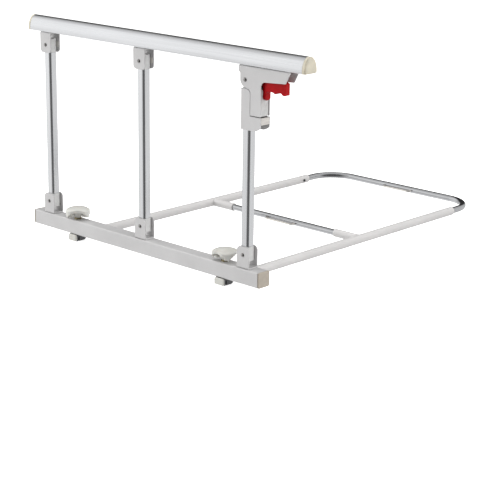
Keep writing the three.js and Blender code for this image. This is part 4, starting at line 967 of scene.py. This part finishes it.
class GUARD_OT_bolt(bpy.types.Operator):
    """Turn the lock bolt and its pins and wind its spring"""
    bl_idname = "guard_rail.bolt"
    bl_label = "Bolt, spring and pins"

    def execute(self, context):
        pin = cad_middle("upper_pin_right")
        axis = pin + Vector((BOLT_X, 0, 0))
        mesh = turned([
            (0, -68), (3.5, -68), (3.5, -49), (4.7, -49), (4.7, -46), (3, -46), (3, 3.7), (0, 3.7),
        ])
        tip = [
            edge for edge in mesh.edges
            if all(vert.co.z < -67.9 and vert.co.xy.length > 3.4 for vert in edge.verts)
        ]
        bevelled(mesh, tip, 3.2, 8)
        soften(mesh, 0.3, angle=60, test=lambda middle: middle.z > -60)
        finish_piece(moved(mesh, axis), "bolt_rod", "black_oxide", "trigger", "lock_bolt")

        turns = context.scene.guard_latch_sizes.spring_turns
        wire, coil_radius, turn_steps = 0.45, 4.2, 28
        bottom, top = -46 + SEAT + wire, -24 - SEAT - wire
        mesh = bmesh.new()
        place = Matrix.Translation((coil_radius, 0, bottom)) @ QUARTER_TURN_X
        bmesh.ops.create_circle(mesh, cap_ends=False, segments=10, radius=wire, matrix=place)
        steps = turns * turn_steps
        spun(mesh, mesh.verts[:] + mesh.edges[:], steps, TURN * turns, rise=(top - bottom) / steps)
        merged(mesh)
        rims = [edge for edge in mesh.edges if len(edge.link_faces) == 1]
        bmesh.ops.holes_fill(mesh, edges=rims, sides=12)
        moved(closed(mesh), axis)
        piece = finish_piece(mesh, "spring_coil", "bright_zinc", "handrail_arm", "bolt_spring", angle=60)
        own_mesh(piece)

        for node, radius, body, finish in (
            ("trigger_cross_pin", 1.2, "trigger", "phosphated_steel"),
            ("trigger_slot_pin", 2.0, "handrail_arm", "nickelled_pin"),
        ):
            low, high = cad_box(node)
            half = (high.y - low.y) / 2
            mesh = turned([(0, -half), (radius, -half), (radius, half), (0, half)], 24)
            soften(mesh, 0.25, angle=60)
            moved(mesh, cad_middle(node), QUARTER_TURN_X)
            finish_piece(mesh, node.replace("trigger_", "latch_"), finish, body, node)
        return {"FINISHED"}


class GUARD_OT_trigger(bpy.types.Operator):
    """Mould the red trigger with its finger waves"""
    bl_idname = "guard_rail.trigger"
    bl_label = "Release trigger"

    def execute(self, context):
        edge = context.scene.guard_latch_sizes.trigger_edge / MM
        pin = cad_middle("upper_pin_right")
        half, foot = 6.35, -33.7
        pin_drop, slot_middle, slot_ends = 2.5, 79.7, (5.6, 11.6)
        corners = [
            (18.5, 6, 0), (18.5, -9, 1), (38.1, -9, 0.8), (38.1, foot, 3.65), (45.5, foot, 3.65),
            (45.5, -16, 4), (60.4, -16.2, 1.2), (66.6, -18.9, 2.6), (74.6, -15.6, 2.5),
            (80.2, -15.4, 2.5), (84.7, -19, 2.2), (90.7, -19, 1.8), (90.7, 2.4, 1.5), (84.3, 4.6, 2),
            (84.3, 15.5, 1), (59.9, 15.5, 2), (38.1, 6, 4),
        ]
        mesh = plate(corners, -half, half, 6)
        rims = [
            rim for rim in mesh.edges
            if rim.is_manifold and {round(abs(face.normal.y)) for face in rim.link_faces} == {0, 1}
        ]
        bevelled(mesh, rims, edge, 4)
        end = box_shape((37, -8, -40), (46.5, 8, half + foot))
        end = bored(end, half, (36, 0, half + foot), (48, 0, half + foot))
        mesh = combined(mesh, end)
        mesh = bored(mesh, BOLT_CLEARANCE_RADIUS, (BOLT_X, 0, -33), (BOLT_X, 0, 4))
        mesh = bored(mesh, 1.5, (BOLT_X, -THROUGH, -pin_drop), (BOLT_X, THROUGH, -pin_drop), 24)
        mesh = combined(mesh, box_shape((77.4, -THROUGH, slot_ends[0]), (82.0, THROUGH, slot_ends[1])))
        for height in slot_ends:
            mesh = bored(mesh, 2.3, (slot_middle, -THROUGH, height), (slot_middle, THROUGH, height), 32)
        finish_piece(moved(mesh, pin), "trigger_moulding", "red_moulding", "trigger", "release_trigger")
        return {"FINISHED"}


class GUARD_OT_lock_sleeve(bpy.types.Operator):
    """Bend the lock sleeve on the right post and the strike plate in its lug"""
    bl_idname = "guard_rail.lock_sleeve"
    bl_label = "Lock sleeve and strike"

    def execute(self, context):
        sheet = context.scene.guard_latch_sizes.sleeve_sheet / MM
        pin = cad_middle("upper_pin_right")
        corners = [
            (-11, -16.6, 0), (-11, -91, 0), (30.5, -91, 21.4), (39, -83, 2), (39, -65, 0.6),
            (12.3, -65, 0.8), (12.3, -16.6, 8.3),
        ]
        mesh = plate(corners, -EAR_FACE, EAR_FACE, 10)
        bevelled(mesh, edges_along(mesh, 2, lambda middle: middle.x < -10.9), 3, 5)

        def is_open(face):
            """Faces that look down, and the mouth and outer side of the lug."""
            middle, normal = face.calc_center_median(), face.normal
            low = normal.z < -0.2 or middle.x > 12.4
            lug = normal.x > -0.01 and middle.z < -64.0 and middle.x > 11
            return abs(normal.y) < 0.2 and (low or lug)

        hollow(mesh, sheet, is_open)
        mesh = combined(mesh, square_shape((-9.8, -9.8, -100), (9.8, 9.8, 0), 2, 4))
        soften(mesh, 0.4)
        finish_piece(moved(mesh, pin), "sleeve_sheet", "silver_powder_coat", "right_post", "lock_sleeve")

        corners = [
            (12.6, -65, 0.3), (12.6, -67, 0.3), (37, -67, 0.6), (37, -78.5, 0.4), (39, -78.5, 0.4),
            (39, -65, 2.4),
        ]
        mesh = plate(corners, -10.9, 10.9, 6)
        bevelled(mesh, edges_along(mesh, 2, lambda middle: middle.x > 38.9), 1.0, 3)
        lean, cuts = 0.125, 6
        for step in range(cuts):
            ramp = rod_shape(4, (BOLT_X, 0, -68.5), (BOLT_X, 0, -5))
            tilt = Matrix.Rotation(-lean * step / (cuts - 1), 3, "Y")
            bmesh.ops.rotate(ramp, cent=(0, 0, 0), verts=ramp.verts[:], matrix=tilt)
            mesh = combined(mesh, ramp)
        soften(mesh, 0.3)
        finish_piece(moved(mesh, pin), "strike_sheet", "bright_zinc", "right_post", "strike_plate")
        return {"FINISHED"}


class GUARD_OT_side_tubes(bpy.types.Operator):
    """Build the white side tubes, the coped sockets of the crossbar, the set screws and the welds"""
    bl_idname = "guard_rail.side_tubes"
    bl_label = "Side tubes and sockets"

    def execute(self, context):
        wall = context.scene.guard_frame_sizes.side_wall / MM
        face = SIDE_TUBE_RADIUS + SEAT
        for side, inward in (("left", 1), ("right", -1)):
            low, high = cad_box(f"side_tube_{side}")
            x, z = (low.x + high.x) / 2, (low.z + high.z) / 2
            screw = cad_middle(f"set_screw_{side}")
            mesh = tube_shape(SIDE_TUBE_RADIUS, wall, (x, low.y, z), (x, high.y, z), 56)
            mesh = bored(mesh, 1.9, (x, screw.y, z), (x + inward * 15, screw.y, z), 24)
            soften(mesh, 0.4, angle=50)
            finish_piece(mesh, f"side_bar_{side}", "white_powder_coat", "base", f"side_tube_{side}")

            back = cad_box("base_rail")[1].y
            mesh = moved(weld_bead(9.2, 1.9), (x, back, z))
            finish_piece(mesh, f"rail_weld_{side}", "silver_powder_coat", "base")

            y, reach = cad_middle("middle_crossbar").y, 64
            end = x + inward * reach
            mesh = tube_shape(8.4, 1.7, (x, y, z), (end, y, z), 48)
            mesh = bored(mesh, face, (x, y - THROUGH, z), (x, y + THROUGH, z), 56)
            soften(mesh, 0.35, angle=50)
            finish_piece(mesh, f"socket_{side}", "white_powder_coat", "base", f"crossbar_socket_{side}")

            mesh = turned([
                (0, 7.2), (1.6, 7.2), (1.6, face), (3.2, face), (3.2, face + 1.6), (1.3, face + 1.6),
                (1.3, face + 0.5), (0, face + 0.5),
            ], 32)
            soften(mesh, 0.25, angle=50)
            moved(mesh, (x, screw.y, z), Matrix.Rotation(inward * TURN / 4, 4, "Y"))
            finish_piece(mesh, f"side_screw_{side}", "phosphated_steel", "base", f"set_screw_{side}")
        return {"FINISHED"}


class GUARD_OT_chrome_frame(bpy.types.Operator):
    """Bend the chrome crossbar, the end frame and the strap loops"""
    bl_idname = "guard_rail.chrome_frame"
    bl_label = "Chrome frame"

    def execute(self, context):
        sizes = context.scene.guard_frame_sizes
        wall = sizes.chrome_wall / MM
        low, high = cad_box("middle_crossbar")
        y, z = cad_middle("middle_crossbar").yz
        mesh = tube_shape(CROSSBAR_RADIUS, wall, (low.x, y, z), (high.x, y, z))
        finish_piece(mesh, "crossbar", "chromed_tube", "base", "middle_crossbar", angle=50)

        low, high = cad_box("end_frame_tube")
        radius = (high.z - low.z) / 2
        mesh = bent_shape(
            radius, low.x + radius, high.x - radius, low.y, high.y - radius, sizes.end_bend / MM, 48, wall,
        )
        moved(mesh, (0, 0, (low.z + high.z) / 2))
        finish_piece(mesh, "end_bow", "chromed_tube", "end_frame", "end_frame_tube", angle=50)

        for node, body in (("middle_strap_loop", "base"), ("end_strap_loop", "end_frame")):
            low, high = cad_box(node)
            radius = (high.z - low.z) / 2
            mesh = bent_shape(
                radius, low.x + radius, high.x - radius, high.y, low.y + radius, sizes.loop_bend / MM, 24,
            )
            moved(mesh, (0, 0, (low.z + high.z) / 2))
            finish_piece(mesh, node.replace("strap_", "wire_"), "bright_zinc", body, node, angle=50)
        return {"FINISHED"}


class GUARD_OT_knobs(bpy.types.Operator):
    """Mould the two three-lobed knobs and cut the hexagon collars under them"""
    bl_idname = "guard_rail.knobs"
    bl_label = "Knobs and collars"

    def execute(self, context):
        sizes = context.scene.guard_clamp_sizes
        for side, turn in (("left", 0.29), ("right", -0.58)):
            low, high = cad_box(f"clamp_knob_{side}")
            x = cad_middle(f"clamp_screw_{side}").x
            mesh = knob_shape(sizes, high.z - low.z, 1.2)
            soften(mesh, 0.5, angle=40)
            moved(mesh, (x, 0, low.z), Matrix.Rotation(turn, 4, "Z"))
            finish_piece(mesh, f"knob_{side}", "off_white_moulding", f"{side}_knob", f"clamp_knob_{side}")

            node = f"clamp_collar_{side}"
            low, high = cad_box(node)
            tall, corner = high.z - low.z, max(high.x - low.x, high.y - low.y) / 2
            mesh = rod_shape(corner, (0, 0, 0), (0, 0, tall), 6)
            if high.x - low.x > high.y - low.y:
                half_side = Matrix.Rotation(TURN / 12, 3, "Z")
                bmesh.ops.rotate(mesh, cent=(0, 0, 0), verts=mesh.verts[:], matrix=half_side)
            shape = turned([
                (0, -0.2), (corner - 1.0, -0.2), (corner + 0.3, 0.7), (corner + 0.3, tall - 0.9),
                (corner - 1.3, tall + 0.2), (0, tall + 0.2),
            ])
            mesh = combined(mesh, shape, "INTERSECT")
            mesh = bored(mesh, SCREW_RADIUS + RUNNING, (0, 0, -1), (0, 0, tall + 1))
            soften(mesh, 0.2)
            moved(mesh, (x, 0, low.z))
            finish_piece(mesh, f"collar_{side}", "yellow_passivate", "base", node)
        return {"FINISHED"}


class GUARD_OT_clamp_feet(bpy.types.Operator):
    """Cut the clamp screws, and make the feet with their shoes and guide pins"""
    bl_idname = "guard_rail.clamp_feet"
    bl_label = "Clamp screws and feet"

    def execute(self, context):
        sizes = context.scene.guard_clamp_sizes
        for side in LEFT_RIGHT:
            low, high = cad_box(f"clamp_screw_{side}")
            x = (low.x + high.x) / 2
            guide, foot = x + GUIDE_PIN_OFFSET, f"{side}_foot"
            mesh = screw_shape(SCREW_RADIUS, 3.25, sizes.thread_pitch / MM, low.z, high.z)
            moved(mesh, (x, 0, 0))
            node = f"clamp_screw_{side}"
            finish_piece(mesh, f"thread_{side}", "phosphated_steel", f"{side}_knob", node, angle=25)

            low, high = cad_box(f"clamp_foot_{side}")
            mesh = box_shape(low, high)
            heel = edges_along(mesh, 0, lambda middle: middle.y > 0 > middle.z + 10)
            bevelled(mesh, heel, 6, 6)
            for edge_x in (low.x, high.x):
                inward = 2.2 if edge_x == low.x else -2.2
                near, far = sorted((edge_x - inward, edge_x + inward))
                groove = box_shape((near, low.y + 3, low.z - 2), (far, low.y + 5.6, low.z + 9.5))
                mesh = combined(mesh, groove)
            mesh = bored(mesh, SCREW_RADIUS + RUNNING, (x, 0, low.z - 2), (x, 0, high.z + 2))
            ends = (guide, 0, high.z - 6.7), (guide, 0, high.z + 2)
            mesh = bored(mesh, GUIDE_PIN_RADIUS + RUNNING, *ends, 24)
            soften(mesh, 0.5)
            finish_piece(mesh, f"foot_block_{side}", "phosphated_steel", foot, f"clamp_foot_{side}")

            low, high = cad_box(f"clamp_foot_shoe_{side}")
            mesh = square_shape(low, high, 1, sizes.shoe_corner / MM, 6)
            front = [
                edge for edge in mesh.edges
                if all(abs(vert.co.y - low.y) < MERGE for vert in edge.verts)
            ]
            bevelled(mesh, front, 1.5, 4)
            soften(mesh, 0.3)
            finish_piece(mesh, f"shoe_{side}", "off_white_moulding", foot, f"clamp_foot_shoe_{side}")

            low, high = cad_box(f"foot_guide_pin_{side}")
            tall = high.z - low.z
            pin = ((0, 0), (GUIDE_PIN_RADIUS, 0), (GUIDE_PIN_RADIUS, tall - 0.8), (1.3, tall), (0, tall))
            mesh = moved(turned(pin, 28), (guide, 0, low.z))
            finish_piece(mesh, f"guide_{side}", "nickelled_pin", foot, f"foot_guide_pin_{side}")
        return {"FINISHED"}


# The studio round the object: an even glow, then zones that multiply it.
# Each is (direction, cosine at its edge, cosine where it is full, share of the glow there):
# a dark card by the camera, a darker one at the left behind, softboxes at the left in front, low at
# the left and at the right behind.
SURROUND_GLOW = 0.82
ZONES = (
    ((0.74, -0.67, -0.08), 0.34, 0.82, 0.18),
    ((-0.66, 0.66, 0.36), 0.74, 0.92, 0.06),
    ((-0.82, -0.52, 0.22), 0.80, 0.95, 1.60),
    ((-0.70, -0.10, -0.70), 0.84, 0.98, 1.60),
    ((0.70, 0.68, -0.10), 0.60, 0.95, 1.15),
)
# Each lamp: name, place, target, width in metres, power in watts
LAMPS = (
    ("front_softbox", (-1.5, -2.2, 0.9), (0.0, 0.0, 0.25), 1.0, 30.0),
    ("side_softbox", (2.6, -0.9, 0.3), (0.1, 0.0, 0.3), 1.0, 18.0),
    ("back_softbox", (2.4, 0.8, 1.2), (0.0, 0.1, 0.2), 1.4, 16.0),
    ("top_softbox", (-0.3, 0.4, 2.6), (0.0, 0.2, 0.0), 1.6, 16.0),
)
FLOOR_HALF = 40
FLOOR_GAP = 0.0005
FLOOR_GLOW = 0.75
CAMERA_PLACE = (2.05665, -1.92801, 0.83753)
CAMERA_AZIMUTH, CAMERA_ELEVATION, CAMERA_ROLL = (
    math.radians(angle) for angle in (42.5931, 16.4396, 0.8757)
)
CAMERA_LENS = 106.131


class GUARD_OT_stage(bpy.types.Operator):
    """Lay the pale floor, set the soft light and the camera"""
    bl_idname = "guard_rail.stage"
    bl_label = "Floor, light and camera"

    def execute(self, context):
        scene = context.scene
        mesh = bmesh.new()
        bmesh.ops.create_grid(mesh, x_segments=2, y_segments=2, size=FLOOR_HALF)
        bmesh.ops.translate(mesh, vec=(0, 0, CAD_BOX[0][2] - FLOOR_GAP), verts=mesh.verts[:])
        data = bpy.data.meshes.new("studio_floor")
        mesh.to_mesh(data)
        mesh.free()
        floor = bpy.data.objects.new("studio_floor", data)
        scene.collection.objects.link(floor)
        paint = bpy.data.materials.new("matt_studio_floor")
        paint.use_nodes = True
        tree = paint.node_tree
        tree.nodes.clear()
        shader = add_node(tree, "ShaderNodeBsdfPrincipled", roughness=0.9)
        shader.inputs["Base Color"].default_value = (*scene.guard_colours.floor, 1.0)
        shader.inputs["Emission Color"].default_value = WHITE
        shader.inputs["Emission Strength"].default_value = FLOOR_GLOW
        add_node(tree, "ShaderNodeOutputMaterial", [(shader.outputs["BSDF"], "Surface")])
        data.materials.append(paint)
        floor.visible_glossy = False
        floor.visible_diffuse = False

        world = bpy.data.worlds.new("studio_surround")
        scene.world = world
        world.use_nodes = True
        tree = world.node_tree
        tree.nodes.clear()
        direction = add_node(tree, "ShaderNodeTexCoord").outputs["Generated"]
        glow = add_node(tree, "ShaderNodeBackground")

        def zone(towards, start, end, outside, inside):
            """Brightness by the angle to a fixed direction."""
            facing = add_node(tree, "ShaderNodeVectorMath", [(direction, 0)], operation="DOT_PRODUCT")
            facing.inputs[1].default_value = Vector(towards).normalized()
            return add_node(
                tree, "ShaderNodeMapRange", [(facing.outputs["Value"], "Value")],
                interpolation_type="SMOOTHSTEP", from_min=start, from_max=end, to_min=outside,
                to_max=inside,
            ).outputs["Result"]

        brightness = zone(*ZONES[0][:3], SURROUND_GLOW, SURROUND_GLOW * ZONES[0][3])
        for towards, start, end, share in ZONES[1:]:
            shaded = zone(towards, start, end, 1.0, share)
            brightness = add_node(
                tree, "ShaderNodeMath", [(brightness, 0), (shaded, 1)], operation="MULTIPLY",
            ).outputs[0]
        tree.links.new(brightness, glow.inputs["Strength"])
        glow.inputs["Color"].default_value = WHITE
        wall = add_node(tree, "ShaderNodeBackground", strength=1.0)
        wall.inputs["Color"].default_value = WHITE
        seen = add_node(tree, "ShaderNodeMixShader")
        tree.links.new(add_node(tree, "ShaderNodeLightPath").outputs["Is Camera Ray"], seen.inputs[0])
        tree.links.new(glow.outputs["Background"], seen.inputs[1])
        tree.links.new(wall.outputs["Background"], seen.inputs[2])
        add_node(tree, "ShaderNodeOutputWorld", [(seen.outputs["Shader"], "Surface")])

        for name, place, target, across, power in LAMPS:
            light = bpy.data.lights.new(name, "AREA")
            light.shape, light.size, light.energy = "SQUARE", across, power
            lamp = bpy.data.objects.new(name, light)
            lamp.location = place
            lamp.rotation_euler = (Vector(target) - Vector(place)).to_track_quat("-Z", "Y").to_euler()
            lamp.visible_glossy = False
            scene.collection.objects.link(lamp)

        level = math.cos(CAMERA_ELEVATION)
        away = Vector((
            math.sin(CAMERA_AZIMUTH) * level, -math.cos(CAMERA_AZIMUTH) * level, math.sin(CAMERA_ELEVATION),
        ))
        camera_data = bpy.data.cameras.new("studio_camera")
        camera_data.lens = CAMERA_LENS
        camera_data.sensor_width = 36.0
        camera_data.clip_end = 100.0
        camera = bpy.data.objects.new("studio_camera", camera_data)
        camera.location = CAMERA_PLACE
        upright = (-away).to_track_quat("-Z", "Y").to_matrix()
        camera.rotation_euler = (upright @ Matrix.Rotation(CAMERA_ROLL, 3, "Z")).to_euler()
        scene.collection.objects.link(camera)
        scene.camera = camera
        scene.view_settings.view_transform = "Standard"
        return {"FINISHED"}


class GUARD_PT_panel(bpy.types.Panel):
    """Steps that build the guard rail"""
    bl_idname = "GUARD_PT_panel"
    bl_label = "Guard rail"
    bl_space_type = "VIEW_3D"
    bl_region_type = "UI"
    bl_category = "Guard rail"

    def draw(self, context):
        for step in STEPS:
            self.layout.operator(step.bl_idname)


GROUPS = (
    ("guard_rail_sizes", GUARD_PG_rail_sizes),
    ("guard_latch_sizes", GUARD_PG_latch_sizes),
    ("guard_frame_sizes", GUARD_PG_frame_sizes),
    ("guard_clamp_sizes", GUARD_PG_clamp_sizes),
    ("guard_colours", GUARD_PG_colours),
)
STEPS = (
    GUARD_OT_base_rail,
    GUARD_OT_brackets,
    GUARD_OT_rivets,
    GUARD_OT_posts,
    GUARD_OT_handrail,
    GUARD_OT_latch_housing,
    GUARD_OT_bolt,
    GUARD_OT_trigger,
    GUARD_OT_lock_sleeve,
    GUARD_OT_side_tubes,
    GUARD_OT_chrome_frame,
    GUARD_OT_knobs,
    GUARD_OT_clamp_feet,
    GUARD_OT_stage,
)


def register():
    for name, group in GROUPS:
        bpy.utils.register_class(group)
        setattr(bpy.types.Scene, name, bpy.props.PointerProperty(type=group))
    for kind in (*STEPS, GUARD_PT_panel):
        bpy.utils.register_class(kind)


def unregister():
    for kind in (GUARD_PT_panel, *reversed(STEPS)):
        bpy.utils.unregister_class(kind)
    for name, group in reversed(GROUPS):
        delattr(bpy.types.Scene, name)
        bpy.utils.unregister_class(group)


def main():
    register()
    for step in STEPS:
        group, name = step.bl_idname.split(".")
        getattr(getattr(bpy.ops, group), name)()


if __name__ == "__main__":
    main()
